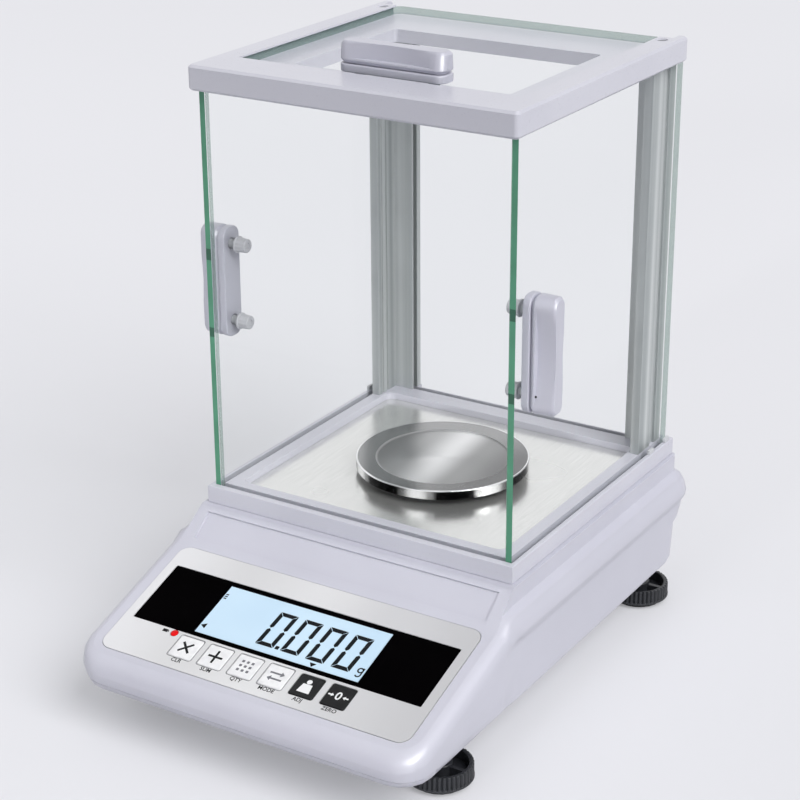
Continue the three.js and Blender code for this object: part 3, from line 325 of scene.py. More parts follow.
PANE_AXIS = {"front_glass": "Y", "rear_glass": "Y", "left_door_glass": "X", "right_door_glass": "X",
             "top_door_glass": "Z"}
CLEAR_GLASS = linear(254.7, 255, 254.9)
GLASS_SHEEN = 0.02
GLASS_GLOSS = 0.02
GLASS_IOR = 1.45
EDGE_TURN = 0.9
EDGE_HAZE = linear(208, 218, 214)
EDGE_PALE = linear(148, 170, 161)
EDGE_PALE_SHARE = 0.25
EDGE_GREEN = linear(84, 152, 121)
EDGE_PAINTED_KNOB_DARK = linear(46, 98, 76)
EDGE_PATCHES = 60
EDGE_TONES = [(0.35, level(0.86)), (0.65, level(1))]
EDGE_ROUGHNESS = 0.3
FRONT_EDGE = 0.4
RIM_BAND = 3


def near_rim(nodes, links, where, low, high):
    """One close to the outer edges of a door pane, nought inside, where its knob holes are."""
    inside = 1
    for index, axis in ((1, "Y"), (2, "Z")):
        limits = {"GREATER_THAN": low[index] + RIM_BAND, "LESS_THAN": high[index] - RIM_BAND}
        for operation, limit in limits.items():
            beyond = calculated(nodes, links, operation, where[axis], limit * MM)
            inside = calculated(nodes, links, "MULTIPLY", inside, beyond)
    return calculated(nodes, links, "SUBTRACT", 1, inside)


def clear_face(nodes, links):
    clear = nodes.new("ShaderNodeBsdfTransparent")
    clear.inputs["Color"].default_value = CLEAR_GLASS
    gloss = nodes.new("ShaderNodeBsdfGlossy")
    gloss.inputs["Roughness"].default_value = GLASS_GLOSS
    sheen = nodes.new("ShaderNodeFresnel")
    sheen.inputs["IOR"].default_value = GLASS_IOR
    share = calculated(nodes, links, "MULTIPLY", sheen.outputs["Fac"], GLASS_SHEEN)
    return mixed(nodes, links, share, clear.outputs["BSDF"], gloss.outputs["BSDF"])


def hazy_edge(nodes, links):
    haze = nodes.new("ShaderNodeBsdfTransparent")
    haze.inputs["Color"].default_value = EDGE_HAZE
    pale = nodes.new("ShaderNodeBsdfDiffuse")
    pale.inputs["Color"].default_value = EDGE_PALE
    return mixed(nodes, links, EDGE_PALE_SHARE, haze.outputs["BSDF"], pale.outputs["BSDF"])


def green_edge(nodes, links, height, low, high):
    """The green of an edge, with painted dark bands at the knobs' heights, where the knobs are seen through
    it.
    """
    along = mapped(nodes, links, height, (low.z * MM, high.z * MM), (0, 1))
    stops = [(0, EDGE_GREEN)]
    # Painted dark bands where the knobs are seen through the edge.
    for z in KNOB_HEIGHTS:
        for limit, colour in ((z - KNOB_HOLE, EDGE_PAINTED_KNOB_DARK), (z + KNOB_HOLE, EDGE_GREEN)):
            stops.append(((limit - low.z) / (high.z - low.z), colour))
    bands = ramp(nodes, links, along, stops, "CONSTANT")
    patches = noise(nodes, links, coordinates(nodes, links), EDGE_PATCHES)
    tone = ramp(nodes, links, patches, EDGE_TONES)
    return blended(nodes, links, 1, bands, tone, "MULTIPLY")


def pane_glass(name, axis):
    """Float glass: clear faces across the thin axis, green edges in front and hazy ones elsewhere."""
    material, nodes, links, shader = new_material(name)
    geometry = nodes.new("ShaderNodeNewGeometry")
    facing = split_axes(nodes, links, geometry.outputs["Normal"])[axis]
    is_edge = calculated(nodes, links, "LESS_THAN", calculated(nodes, links, "ABSOLUTE", facing), EDGE_TURN)
    where = split_axes(nodes, links, object_place(nodes))
    low, high = node_box("left_door_glass")
    in_front = calculated(nodes, links, "LESS_THAN", where["Y"], (low.y + FRONT_EDGE) * MM)
    outside = calculated(nodes, links, "SUBTRACT", 1, geometry.outputs["Backfacing"])
    is_front = calculated(nodes, links, "MULTIPLY", in_front, outside)
    if axis == "X":
        is_edge = calculated(nodes, links, "MULTIPLY", is_edge, near_rim(nodes, links, where, low, high))
    links.new(green_edge(nodes, links, where["Z"], low, high), shader.inputs["Base Color"])
    shader.inputs["Roughness"].default_value = EDGE_ROUGHNESS
    edge = mixed(nodes, links, is_front, hazy_edge(nodes, links), shader.outputs["BSDF"])
    whole = mixed(nodes, links, is_edge, clear_face(nodes, links), edge)
    links.new(whole, nodes["Material Output"].inputs["Surface"])
    return material


# Floor plate, panel film and display

PLATE_STRETCH = (30, 1, 1)
PLATE_GRAIN = 60
PLATE_PATCHES = 18
PLATE_ROUGHNESS = (0.22, 0.28)
FILM_GRAIN = 2200
FILM_BUMP = 0.12
FILM_DEPTH = 1e-5
DISPLAY_PATCHES = 22
DISPLAY_GLOW = 0.06


def satin_plate(name):
    """A thin stainless plate with a fine straight grain, glossy enough to mirror the pan softly."""
    material, nodes, links, shader = new_material(name)
    grain = noise(nodes, links, coordinates(nodes, links, PLATE_STRETCH), PLATE_GRAIN, 2)
    stops = between(linear(228, 228, 226), linear(237, 237, 235))
    links.new(ramp(nodes, links, grain, stops), shader.inputs["Base Color"])
    patch = noise(nodes, links, coordinates(nodes, links), PLATE_PATCHES, 1)
    links.new(mapped(nodes, links, patch, NOISE_SPAN, PLATE_ROUGHNESS), shader.inputs["Roughness"])
    shader.inputs["Metallic"].default_value = 0.8
    return material


def sheet_film(name):
    """The silver-white film of the panel: painted bands of sheen across it, lighter and darker from side to
    side, and a fine metallic grain.
    """
    material, nodes, links, shader = new_material(name)
    place = coordinates(nodes, links)
    half = OVERLAY_HIGH.x * MM
    across = mapped(nodes, links, split_axes(nodes, links, place)["X"], (-half, half), (0, 1))
    # Painted sheen: the film is lighter and darker in bands from side to side.
    stops = [(0, linear(224, 224, 226)), (0.25, linear(212, 212, 213)), (0.5, linear(222, 222, 223)),
             (0.75, linear(206, 206, 208)), (1, linear(196, 196, 198))]
    links.new(ramp(nodes, links, across, stops, "EASE"), shader.inputs["Base Color"])
    bump(nodes, links, noise(nodes, links, place, FILM_GRAIN, 2), shader, FILM_BUMP, FILM_DEPTH)
    shader.inputs["Roughness"].default_value = 0.4
    shader.inputs["Metallic"].default_value = 0.1
    return material


def lit_display(name):
    """A pale blue display with a faint even light behind it."""
    material, nodes, links, shader = new_material(name)
    patch = noise(nodes, links, coordinates(nodes, links), DISPLAY_PATCHES, 1)
    colour = ramp(nodes, links, patch, between(linear(190, 215, 234), linear(200, 223, 239)))
    links.new(colour, shader.inputs["Base Color"])
    links.new(colour, shader.inputs["Emission Color"])
    shader.inputs["Emission Strength"].default_value = DISPLAY_GLOW
    shader.inputs["Roughness"].default_value = 0.5
    shader.inputs["Specular IOR Level"].default_value = 0.2
    return material


# Every material by name

MATERIALS = {
    "shell": grained("shell_abs", (194, 194, 205), (201, 201, 212), 0.29, 0.34, grain=1500, depth=1e-6),
    "overlay": sheet_film("overlay_film"),
    "window_black": grained("window_black_acrylic", (0, 0, 0), (3, 2, 3), 0.7, 0.8, depth=2e-6,
                            specular=0.01),
    "lcd": lit_display("lcd_backlit"),
    "key_light": grained("key_light", (224, 224, 226), (240, 240, 241), 0.3, 0.42, grain=700,
                         patches=220, depth=1e-5),
    "key_dark": grained("key_dark", (8, 8, 10), (20, 20, 22), 0.3, 0.42, grain=700, patches=180,
                        depth=1e-5, specular=0.3),
    "red_lamp": grained("red_lamp", (214, 2, 6), (232, 8, 10), 0.3, 0.4, patches=300, depth=2e-6,
                        specular=0.2),
    "circuit_board": grained("circuit_board", (18, 74, 40), (28, 96, 52), 0.35, 0.55),
    "frame_grey": grained("frame_grey_abs", (201, 201, 211), (208, 208, 217), 0.27, 0.32, grain=1300,
                          depth=1e-6),
    "floor_steel": satin_plate("floor_steel"),
    # The pan's steels have painted reflections in their colour: light and dark bands round the axis, and a
    # bright streak across the dish.
    "polished_steel": turned_metal("polished_steel", [(0, 232), (1, 244)], 0.1, round_place(8, -69)),
    "side_steel": turned_metal("side_steel", [(0, 5), (0.4, 14), (0.7, 150), (1, 250)], 0.12,
                               round_place(7, -77)),
    "ring_steel": turned_metal("ring_steel", [(0, 116), (0.5, 172), (1, 178)], 0.22, round_place(1, 167)),
    "brushed_steel": turned_metal("brushed_steel",
                                  [(0, 164), (0.26, 196), (0.5, 242), (0.73, 166), (1, 140)], 0.3,
                                  across_place(4, 34), 0.7),
    "aluminium": grained("aluminium_casting", (168, 174, 179), (182, 188, 192), 0.34, 0.44, grain=700,
                         metallic=0.3),
    # The posts' light and dark vertical streaks are partly grain of the extrusion and partly painted shade
    # and highlight of their ribs.
    "post_aluminium": grained("post_aluminium", (162, 167, 168), (210, 213, 213), 0.32, 0.42, grain=300,
                              patches=150, stretch=(1, 1, 0.01), streaked=True, depth=2e-5, metallic=0.3),
    "handle": grained("handle_abs", (190, 190, 202), (197, 197, 208), 0.3, 0.33, grain=900, depth=5e-7),
    "knob": grained("knob_plastic", (184, 185, 190), (193, 194, 198), 0.3, 0.42, grain=900, depth=2e-5),
    "screw_steel": grained("screw_steel", (120, 122, 126), (140, 142, 146), 0.3, 0.4, metallic=0.6),
    "battery": grained("battery_case", (40, 41, 44), (52, 53, 57), 0.5, 0.65),
    "black_plastic": grained("black_plastic", (22, 23, 25), (32, 33, 36), 0.4, 0.55),
    "rubber": grained("rubber_pad", (34, 35, 38), (46, 47, 50), 0.7, 0.9, grain=1600, depth=6e-5),
    "foot_plastic": grained("foot_plastic", (34, 35, 39), (48, 50, 54), 0.32, 0.45, grain=1200),
    "clear_plastic": grained("level_lens", (190, 214, 120), (214, 232, 160), 0.05, 0.12, depth=1e-6,
                             coat=0.8),
    "white_plastic": grained("white_plastic", (196, 198, 202), (208, 210, 213), 0.3, 0.42),
    "print_black": grained("print_black", (16, 16, 18), (26, 26, 29), 0.5, 0.6, depth=1e-6, specular=0.2),
    "print_grey": grained("print_grey", (104, 105, 110), (120, 121, 126), 0.5, 0.6, depth=1e-6),
    "print_white": grained("print_white", (226, 226, 228), (240, 240, 241), 0.45, 0.6, depth=1e-6),
    "segment": grained("lcd_segment", (4, 7, 10), (12, 15, 19), 0.5, 0.6, depth=1e-6, specular=0.15),
}
GLASS = {axis: pane_glass(f"pane_glass_{axis.lower()}", axis) for axis in "XYZ"}


def assign(piece, material):
    piece.data.materials.clear()
    piece.data.materials.append(material)


# Modifiers that give the faceted solids their round edges and even shading

SMOOTH_LIMIT = math.radians(38)
BEVEL_LIMIT = math.radians(46)
BEVEL_SEGMENTS = 3
WELD_DISTANCE = 0.002
DISSOLVE_LIMIT = math.radians(0.8)


def smoothing_group():
    """Smooth faces, with the edges that turn past the limit left sharp."""
    group = bpy.data.node_groups.new("smooth_by_angle", "GeometryNodeTree")
    for direction in ("INPUT", "OUTPUT"):
        group.interface.new_socket("Geometry", in_out=direction, socket_type="NodeSocketGeometry")
    nodes, links = group.nodes, group.links
    faces = nodes.new("GeometryNodeSetShadeSmooth")
    edges = nodes.new("GeometryNodeSetShadeSmooth")
    edges.domain = "EDGE"
    edges.inputs["Shade Smooth"].default_value = False
    angle = nodes.new("GeometryNodeInputMeshEdgeAngle")
    sharp = nodes.new("FunctionNodeCompare")
    sharp.operation = "GREATER_THAN"
    sharp.inputs[1].default_value = SMOOTH_LIMIT
    links.new(nodes.new("NodeGroupInput").outputs["Geometry"], faces.inputs["Geometry"])
    links.new(angle.outputs["Unsigned Angle"], sharp.inputs[0])
    links.new(sharp.outputs["Result"], edges.inputs["Selection"])
    links.new(faces.outputs["Geometry"], edges.inputs["Geometry"])
    links.new(edges.outputs["Geometry"], nodes.new("NodeGroupOutput").inputs["Geometry"])
    return group


SMOOTHING = smoothing_group()


def refine(piece, bevel=0.0, dissolve=True):
    """Welds, optionally bevels, and smooths a solid; the mesh itself stays as it is."""
    weld = piece.modifiers.new("weld", "WELD")
    weld.merge_threshold = WELD_DISTANCE * MM
    if dissolve:
        flat = piece.modifiers.new("flat", "DECIMATE")
        flat.decimate_type = "DISSOLVE"
        flat.angle_limit = DISSOLVE_LIMIT
    if bevel:
        edge = piece.modifiers.new("edge", "BEVEL")
        edge.width = bevel * MM
        edge.segments = BEVEL_SEGMENTS
        edge.limit_method = "ANGLE"
        edge.angle_limit = BEVEL_LIMIT
    smooth = piece.modifiers.new("smooth", "NODES")
    smooth.node_group = SMOOTHING
    weighted = piece.modifiers.new("weighted", "WEIGHTED_NORMAL")
    weighted.keep_sharp = True


# CAD nodes keep their shape and get their finish

EDGE_BY_SLOT = {"shell": 0.7, "frame_grey": 0.6, "key_light": 0.25, "key_dark": 0.25, "white_plastic": 0.3,
                "black_plastic": 0.3, "aluminium": 0.15, "rubber": 0.3}
EDGE_BY_NODE = {"upper_housing": 0.3, "lower_housing": 0.25, "shield_base_frame": 0.5, "top_frame": 1.2,
                "left_handle_grip": 0.45, "right_handle_grip": 0.45, "top_handle_grip": 0.9,
                "load_cell": 0.4, "pan_carrier": 0}
FINISH_BY_NODE = {"left_rear_post": "post_aluminium", "right_rear_post": "post_aluminium",
                  "left_frame_screw": "screw_steel", "right_frame_screw": "screw_steel"}


def dress_node(name, slot):
    node = FRAME_NODES[name]
    if name in PANE_AXIS:
        assign(node, GLASS[PANE_AXIS[name]])
        return
    finish = "handle" if "_handle_" in name else FINISH_BY_NODE.get(name, slot)
    assign(node, MATERIALS[finish])
    refine(node, EDGE_BY_NODE.get(name, EDGE_BY_SLOT.get(slot, 0)))


for entry in SUBPARTS:
    dress_node(entry["node"], entry["material_slot"])


# New pieces

def add_piece(name, bm, material, body, replaced=(), origin=Vector((0, 0, 0))):
    bmesh.ops.recalc_face_normals(bm, faces=bm.faces)
    mesh = bpy.data.meshes.new(name)
    bm.to_mesh(mesh)
    bm.free()
    piece = bpy.data.objects.new(name, mesh)
    piece.location = origin * MM
    bpy.context.scene.collection.objects.link(piece)
    assign(piece, MATERIALS[material])
    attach(piece, body)
    if replaced:
        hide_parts(*replaced)
    return piece


def lathe(bm, profile, segments, wave=lambda angle: 0.0, waved=()):
    """Turns a profile of (radius, height) points round Z; wave changes the radius of the waved points."""
    rows = []
    for index, (radius, height) in enumerate(profile):
        if radius == 0:
            rows.append([bm.verts.new(mm(0, 0, height))])
            continue
        row = []
        for step in range(segments):
            angle = 2 * math.pi * step / segments
            reach = radius + (wave(angle) if index in waved else 0)
            row.append(bm.verts.new(mm(reach * math.cos(angle), reach * math.sin(angle), height)))
        rows.append(row)
    for lower, upper in zip(rows, rows[1:]):
        for step in range(segments):
            after = (step + 1) % segments
            corners = [lower[step % len(lower)], lower[after % len(lower)],
                       upper[after % len(upper)], upper[step % len(upper)]]
            bm.faces.new(list(dict.fromkeys(corners)))


def flutes(count, depth, sharpness=1):
    """A wave of count hollows round a turned piece."""
    return lambda angle: -depth * (0.5 - 0.5 * math.cos(count * angle)) ** sharpness


def arc(centre_radius, centre_height, radius, start, end, count):
    """Profile points along an arc, angles in degrees from outwards towards up."""
    points = []
    for step in range(count + 1):
        angle = math.radians(start + (end - start) * step / count)
        points.append((centre_radius + radius * math.cos(angle), centre_height + radius * math.sin(angle)))
    return points


def add_block(bm, size, place):
    bmesh.ops.create_cube(bm, size=1, matrix=place @ Matrix.Diagonal(mm(*size).to_4d()))


# Weighing pan: a polished side and rim ring, and a brushed dish

PAN_SEGMENTS = 192
PAN_EDGE = 0.45
PAN_FLUSH = 0.01
PAN_RING_DROP = 0.6
PAN_DISH_RADIUS = 33.5
PAN_DISH_DEPTH = 1.3
PAN_STEP = 1.3
PAN_STEP_FALL = 0.15
CARRIER_BOSS = 6.6
CARRIER_LIFT = 1.5


def add_turned(name, profile, material, replaced=()):
    """A turned piece of the pan; a profile that starts off the axis closes on itself."""
    bm = bmesh.new()
    lathe(bm, profile + profile[:1] if profile[0][0] else profile, PAN_SEGMENTS)
    bmesh.ops.remove_doubles(bm, verts=bm.verts, dist=WELD_DISTANCE * MM)
    piece = add_piece(name, bm, material, "weighing_pan", replaced,
                      Vector((PAN_CENTRE.x, PAN_CENTRE.y, 0)))
    refine(piece, dissolve=False)


def add_pan():
    low, high = PAN_LOW.z, PAN_HIGH.z
    step_radius = PAN_DISH_RADIUS + PAN_STEP
    edge_radius = PAN_RADIUS - PAN_EDGE
    inner_radius = edge_radius - PAN_EDGE
    ring_top = high - PAN_RING_DROP
    dish_top = high - PAN_DISH_DEPTH
    side_top = high - PAN_EDGE
    socket_top = low + CARRIER_LIFT
    add_turned("pan_side", [(inner_radius, low), (edge_radius, low)]
               + arc(edge_radius, low + PAN_EDGE, PAN_EDGE, -60, 0, 3)
               + [(PAN_RADIUS, side_top), (inner_radius, side_top)], "side_steel")
    add_turned("pan_edge", [(inner_radius, side_top)] + arc(edge_radius, side_top, PAN_EDGE, 0, 90, 5)
               + [(inner_radius, high - PAN_FLUSH)], "polished_steel")
    add_turned("pan_ring", [(step_radius, low), (inner_radius, low), (inner_radius, high - PAN_FLUSH),
                            (step_radius, ring_top)], "ring_steel")
    add_turned("pan_dish", [(0, socket_top), (CARRIER_BOSS, socket_top), (CARRIER_BOSS, low),
                            (step_radius, low), (step_radius, ring_top),
                            (step_radius - PAN_STEP / 3, ring_top - PAN_STEP_FALL),
                            (PAN_DISH_RADIUS, dish_top), (0, dish_top)], "brushed_steel", ("weighing_pan",))


add_pan()


# Levelling wheels: a fluted rim over a thin flange, three spokes, a hub and the threaded stud

WHEEL_FLUTES = 42
FLUTE_STEPS = 6
FLUTE_DEPTH = 0.9
FLUTE_SHARPNESS = 2
FLANGE_HEIGHT = 1.3
FLANGE_CHAMFER_ACROSS = 0.8
FLANGE_CHAMFER_UP = 0.5
RIM_TOP = 10.4
RIM_INSET = 0.2
RIM_FOOT = 0.3
RIM_CHAMFER_ACROSS = 0.5
RIM_CHAMFER_UP = 0.7
RIM_WALL = 2.6
RIM_INNER_CHAMFER = 0.4
WHEEL_FLOOR = 2.4
HUB_RADIUS = 6
HUB_CHAMFER = 0.3
STUD_RADIUS = 3.85
STUD_CHAMFER = 0.5
SPOKE_COUNT = 3
SPOKE_WIDTH = 2.2
SPOKE_OVERLAP = 0.5
SPOKE_SINK = 0.2


def wheel_profile(radius, bottom, top, stud_top):
    """The turned outline of a wheel, and the places in it of its fluted points."""
    flange_top = bottom + FLANGE_HEIGHT
    floor = bottom + WHEEL_FLOOR
    outer, inner = radius - RIM_INSET, radius - RIM_WALL
    profile = [(0, bottom), (radius - FLANGE_CHAMFER_ACROSS, bottom), (radius, bottom + FLANGE_CHAMFER_UP),
               (radius, flange_top), (outer, flange_top + RIM_FOOT), (outer, top - RIM_CHAMFER_UP),
               (outer - RIM_CHAMFER_ACROSS, top), (inner + RIM_INNER_CHAMFER, top),
               (inner, top - RIM_INNER_CHAMFER), (inner, floor), (HUB_RADIUS, floor),
               (HUB_RADIUS, top - HUB_CHAMFER), (HUB_RADIUS - HUB_CHAMFER, top), (STUD_RADIUS, top),
               (STUD_RADIUS, stud_top - STUD_CHAMFER), (STUD_RADIUS - STUD_CHAMFER, stud_top),
               (0, stud_top)]
    return profile, (4, 5, 6)


def add_spokes(bm, inner, bottom, top):
    floor = bottom + WHEEL_FLOOR - SPOKE_SINK
    height = top - FLANGE_HEIGHT - floor + SPOKE_SINK
    length = inner - HUB_RADIUS + 2 * SPOKE_OVERLAP
    move = Matrix.Translation(mm((inner + HUB_RADIUS) / 2, 0, floor + height / 2))
    for index in range(SPOKE_COUNT):
        turn = Matrix.Rotation(2 * math.pi * index / SPOKE_COUNT, 4, "Z")
        add_block(bm, (length, SPOKE_WIDTH, height), turn @ move)


def add_wheel(foot):
    node = f"{foot}_foot_wheel"
    low, high = node_box(node)
    centre = (low + high) / 2
    radius = (high.x - low.x) / 2
    profile, waved = wheel_profile(radius, low.z, RIM_TOP, high.z)
    wave = flutes(WHEEL_FLUTES, FLUTE_DEPTH, FLUTE_SHARPNESS)
    bm = bmesh.new()
    lathe(bm, profile, WHEEL_FLUTES * FLUTE_STEPS, wave, waved)
    add_spokes(bm, radius - RIM_WALL, low.z, RIM_TOP)
    piece = add_piece(f"{foot}_knurled_wheel", bm, "foot_plastic", f"{foot}_wheel",
                      replaced=(node,), origin=Vector((centre.x, centre.y, 0)))
    refine(piece, dissolve=False)


for foot in ("front_left", "front_right", "rear_left", "rear_right"):
    add_wheel(foot)


# Flat shapes of print, as points of (across, down) in millimetres

ARROW_SPREAD_SHARE = 0.8


def placed(points, x, down):
    return [(x + across, down + along) for across, along in points]


def turned_shape(points, degrees):
    angle = math.radians(degrees)
    return [(x * math.cos(angle) - y * math.sin(angle), x * math.sin(angle) + y * math.cos(angle))
            for x, y in points]


def rectangle(left, right, half):
    return [(left, -half), (right, -half), (right, half), (left, half)]


def rounded_square(half, radius, count=5):
    points = []
    for corner, (side, end) in enumerate([(1, 1), (-1, 1), (-1, -1), (1, -1)]):
        for step in range(count + 1):
            angle = math.pi / 2 * (corner + step / count)
            points.append((side * (half - radius) + radius * math.cos(angle),
                           end * (half - radius) + radius * math.sin(angle)))
    return points


def circle(radius, count=24):
    return [(radius * math.cos(2 * math.pi * step / count), radius * math.sin(2 * math.pi * step / count))
            for step in range(count)]


def arc_band(radius, width, start, end, count=14):
    """A bent bar about the origin, angles in degrees from across towards down."""
    angles = [math.radians(start + (end - start) * step / count) for step in range(count + 1)]
    outer = [(radius * math.cos(angle), radius * math.sin(angle)) for angle in angles]
    inner = [(x * (1 - width / radius), down * (1 - width / radius)) for x, down in reversed(outer)]
    return outer + inner


def plus(reach, half):
    return [(half, half), (reach, half), (reach, -half), (half, -half), (half, -reach), (-half, -reach),
            (-half, -half), (-reach, -half), (-reach, half), (-half, half), (-half, reach), (half, reach)]


def arrow(length, head, half):
    """An arrow that points to the right, its middle at the origin."""
    end = length / 2
    neck = end - head
    spread = head * ARROW_SPREAD_SHARE
    return [(end, 0), (neck, spread), (neck, half), (-end, half), (-end, -half), (neck, -half),
            (neck, -spread)]


# Print on the panel, the keys and the display: thin closed shapes lying on their surface

PRINT_THICKNESS = 0.03
LETTER_WEIGHT_SHARE = 0.018
LETTER_CURVE_STEPS = 4


def prism(bm, points, out):
    """A closed prism on the console over points of (across, down)."""
    floor = [bm.verts.new(on_console(x, down, out - PRINT_THICKNESS / 2) * MM) for x, down in points]
    roof = [bm.verts.new(on_console(x, down, out + PRINT_THICKNESS) * MM) for x, down in points]
    bm.faces.new(floor)
    bm.faces.new(roof)
    for index in range(len(points)):
        after = (index + 1) % len(points)
        bm.faces.new([floor[index], floor[after], roof[after], roof[index]])


def band(bm, outer, inner, out):
    """A closed frame on the console between two outlines with as many points."""
    rings = [[bm.verts.new(on_console(x, down, out + lift) * MM) for x, down in points]
             for points in (outer, inner) for lift in (-PRINT_THICKNESS / 2, PRINT_THICKNESS)]
    order = [rings[0], rings[1], rings[3], rings[2]]
    for near, far in zip(order, order[1:] + order[:1]):
        for index in range(len(outer)):
            after = (index + 1) % len(outer)
            bm.faces.new([near[index], near[after], far[after], far[index]])


def add_print(name, shapes, out, material, body):
    bm = bmesh.new()
    for points in shapes:
        prism(bm, points, out)
    add_piece(name, bm, material, body)


def add_words(name, text, size, x, down, out, material, body):
    curve = bpy.data.curves.new(name, "FONT")
    curve.body = text
    curve.size = size * MM
    curve.align_x = "CENTER"
    curve.align_y = "CENTER"
    curve.extrude = PRINT_THICKNESS * MM / 2
    curve.resolution_u = LETTER_CURVE_STEPS
    curve.offset = LETTER_WEIGHT_SHARE * size * MM
    piece = bpy.data.objects.new(name, curve)
    normal = on_console(0, 0, 1) - on_console(0, 0, 0)
    up = on_console(0, 0, 0) - on_console(0, 1, 0)
    axes = Matrix((Vector((1, 0, 0)), up, normal)).transposed().to_4x4()
    piece.matrix_world = Matrix.Translation(on_console(x, down, out + PRINT_THICKNESS / 2) * MM) @ axes
    bpy.context.scene.collection.objects.link(piece)
    assign(piece, MATERIALS[material])
    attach(piece, body)


# Display: four slanted seven-segment noughts, the decimal point, the unit, two pointers and three bars

DIGIT_COUNT = 4
DIGIT_WIDTH = 10.2
DIGIT_HEIGHT = 22.2
DIGIT_TOP = 22.6
DIGIT_FIRST_X = -12.7
DIGIT_PITCH = 14.2
DIGIT_LEAN = 1.1
SEGMENT_WIDTH = 2.3
SEGMENT_GAP = 0.12
POINT_HALF = 1.05
POINT_CORNER = 0.3
POINT_X = -1.7
POINT_DOWN = 43.7
LOWER_POINTER = [(18.4, 46), (22.2, 46), (20.3, 48.4)]
LEFT_POINTER = [(-46, 43.9), (-43.1, 42.2), (-43.1, 45.6)]
BAR_COUNT = 3
BAR_LENGTH = 1.6
BAR_HALF = 0.35
BAR_X = -45.9
BAR_DOWN = 21.95
BAR_PITCH = 1.3
UNIT_RADIUS = 1.7
UNIT_STROKE = 0.78
UNIT_X = 43.9
UNIT_DOWN = 41.9
UNIT_TAIL = 2.6


def nought(x):
    """The six lit segments of a nought whose top left corner is at x."""
    width, height, thick, gap = DIGIT_WIDTH, DIGIT_HEIGHT, SEGMENT_WIDTH, SEGMENT_GAP
    middle = height / 2
    bar = [(gap * 2, 0), (width - gap * 2, 0), (width - thick - gap, thick), (thick + gap, thick)]
    post = [(0, gap * 2), (thick, thick + gap), (thick, middle - thick / 2 - gap),
            (thick / 2, middle - gap), (0, middle - thick / 2)]
    mirror = lambda shape: [(width - across, down) for across, down in shape]
    flip = lambda shape: [(across, height - down) for across, down in shape]
    segments = [bar, flip(bar), post, mirror(post), flip(post), mirror(flip(post))]
    return [[(x + across - DIGIT_LEAN * down / height, DIGIT_TOP + down) for across, down in segment]
            for segment in segments]


def add_display():
    shapes = []
    for index in range(DIGIT_COUNT):
        shapes += nought(DIGIT_FIRST_X + index * DIGIT_PITCH)
    shapes.append(placed(rounded_square(POINT_HALF, POINT_CORNER), POINT_X, POINT_DOWN))
    shapes += [LOWER_POINTER, LEFT_POINTER]
    for row in range(BAR_COUNT):
        shapes.append(placed(rectangle(0, BAR_LENGTH, BAR_HALF), BAR_X, BAR_DOWN + row * BAR_PITCH))
    add_print("display_segments", shapes, LCD_OUT, "segment", "base")


def add_unit():
    """The unit letter: a bowl in two halves, a stem and a hook."""
    radius, stroke = UNIT_RADIUS, UNIT_STROKE
    inner = radius - stroke
    stem = [(inner, -radius), (radius, -radius), (radius, UNIT_TAIL), (inner, UNIT_TAIL)]
    hook = placed(arc_band(radius, stroke, 0, 150), 0, UNIT_TAIL)
    shapes = [arc_band(radius, stroke, 20, 180), arc_band(radius, stroke, 180, 340), stem, hook]
    shapes = [placed(shape, UNIT_X, UNIT_DOWN) for shape in shapes]
    add_print("display_unit", shapes, LCD_OUT, "segment", "base")


add_display()
add_unit()


# Key faces and captions

SIGN_STROKE = 0.62
CROSS_REACH = 4.2
PLUS_REACH = 4
DOT_HALF = 0.72
DOT_CORNER = 0.3
DOT_PITCH = 2.7
DOT = rounded_square(DOT_HALF, DOT_CORNER)
SWAP_ARROW = arrow(8, 2, 0.5)
SWAP_OFFSET = 1.7
SHORT_ARROW = arrow(3.1, 1.4, 0.4)
SHORT_ARROW_X = 3.9
WEIGHT_BODY = [(-3.4, 4), (3.4, 4), (2.5, -1.2), (-2.5, -1.2)]
WEIGHT_KNOB = 1.35
WEIGHT_KNOB_UP = 2.7
NOUGHT_SIZE = 6.4
KEY_SIGNS = {
    "key_clear": ("print_black", [turned_shape(plus(CROSS_REACH, SIGN_STROKE), 45)]),
    "key_add": ("print_black", [plus(PLUS_REACH, SIGN_STROKE)]),
    "key_count": ("print_grey", [placed(DOT, column * DOT_PITCH, row * DOT_PITCH)
                                 for column in (-1, 0, 1) for row in (-1, 0, 1)]),
    "key_unit": ("print_grey", [placed(SWAP_ARROW, 0, -SWAP_OFFSET),
                                placed(turned_shape(SWAP_ARROW, 180), 0, SWAP_OFFSET)]),
    "key_calibrate": ("print_white", [WEIGHT_BODY, placed(circle(WEIGHT_KNOB), 0, -WEIGHT_KNOB_UP)]),
    "key_tare": ("print_white", [placed(SHORT_ARROW, -SHORT_ARROW_X, 0),
                                 placed(turned_shape(SHORT_ARROW, 180), SHORT_ARROW_X, 0)]),
}
CAPTIONS = {"key_clear": "CLR", "key_add": "SUM", "key_count": "QTY", "key_unit": "MODE",
            "key_calibrate": "ADJ", "key_tare": "ZERO"}
CAPTION_DOWN = 8.5
CAPTION_SIZE = 3.1
KEY_HALF = 6.6
BORDER_GAP = 0.32
BORDER_LINE = 0.26
BORDER_OUTER_CORNER = 1.4
BORDER_INNER_CORNER = 1.2


def add_key_print(key):
    x, down = console_place(key)
    material, shapes = KEY_SIGNS[key]
    add_print(f"{key}_sign", [placed(shape, x, down) for shape in shapes], KEY_OUT, material, key)
    add_words(f"{key}_caption", CAPTIONS[key], CAPTION_SIZE, x, down + CAPTION_DOWN, OVERLAY_OUT,
              "print_black", "base")
    if material != "print_white":
        add_key_border(key, x, down)


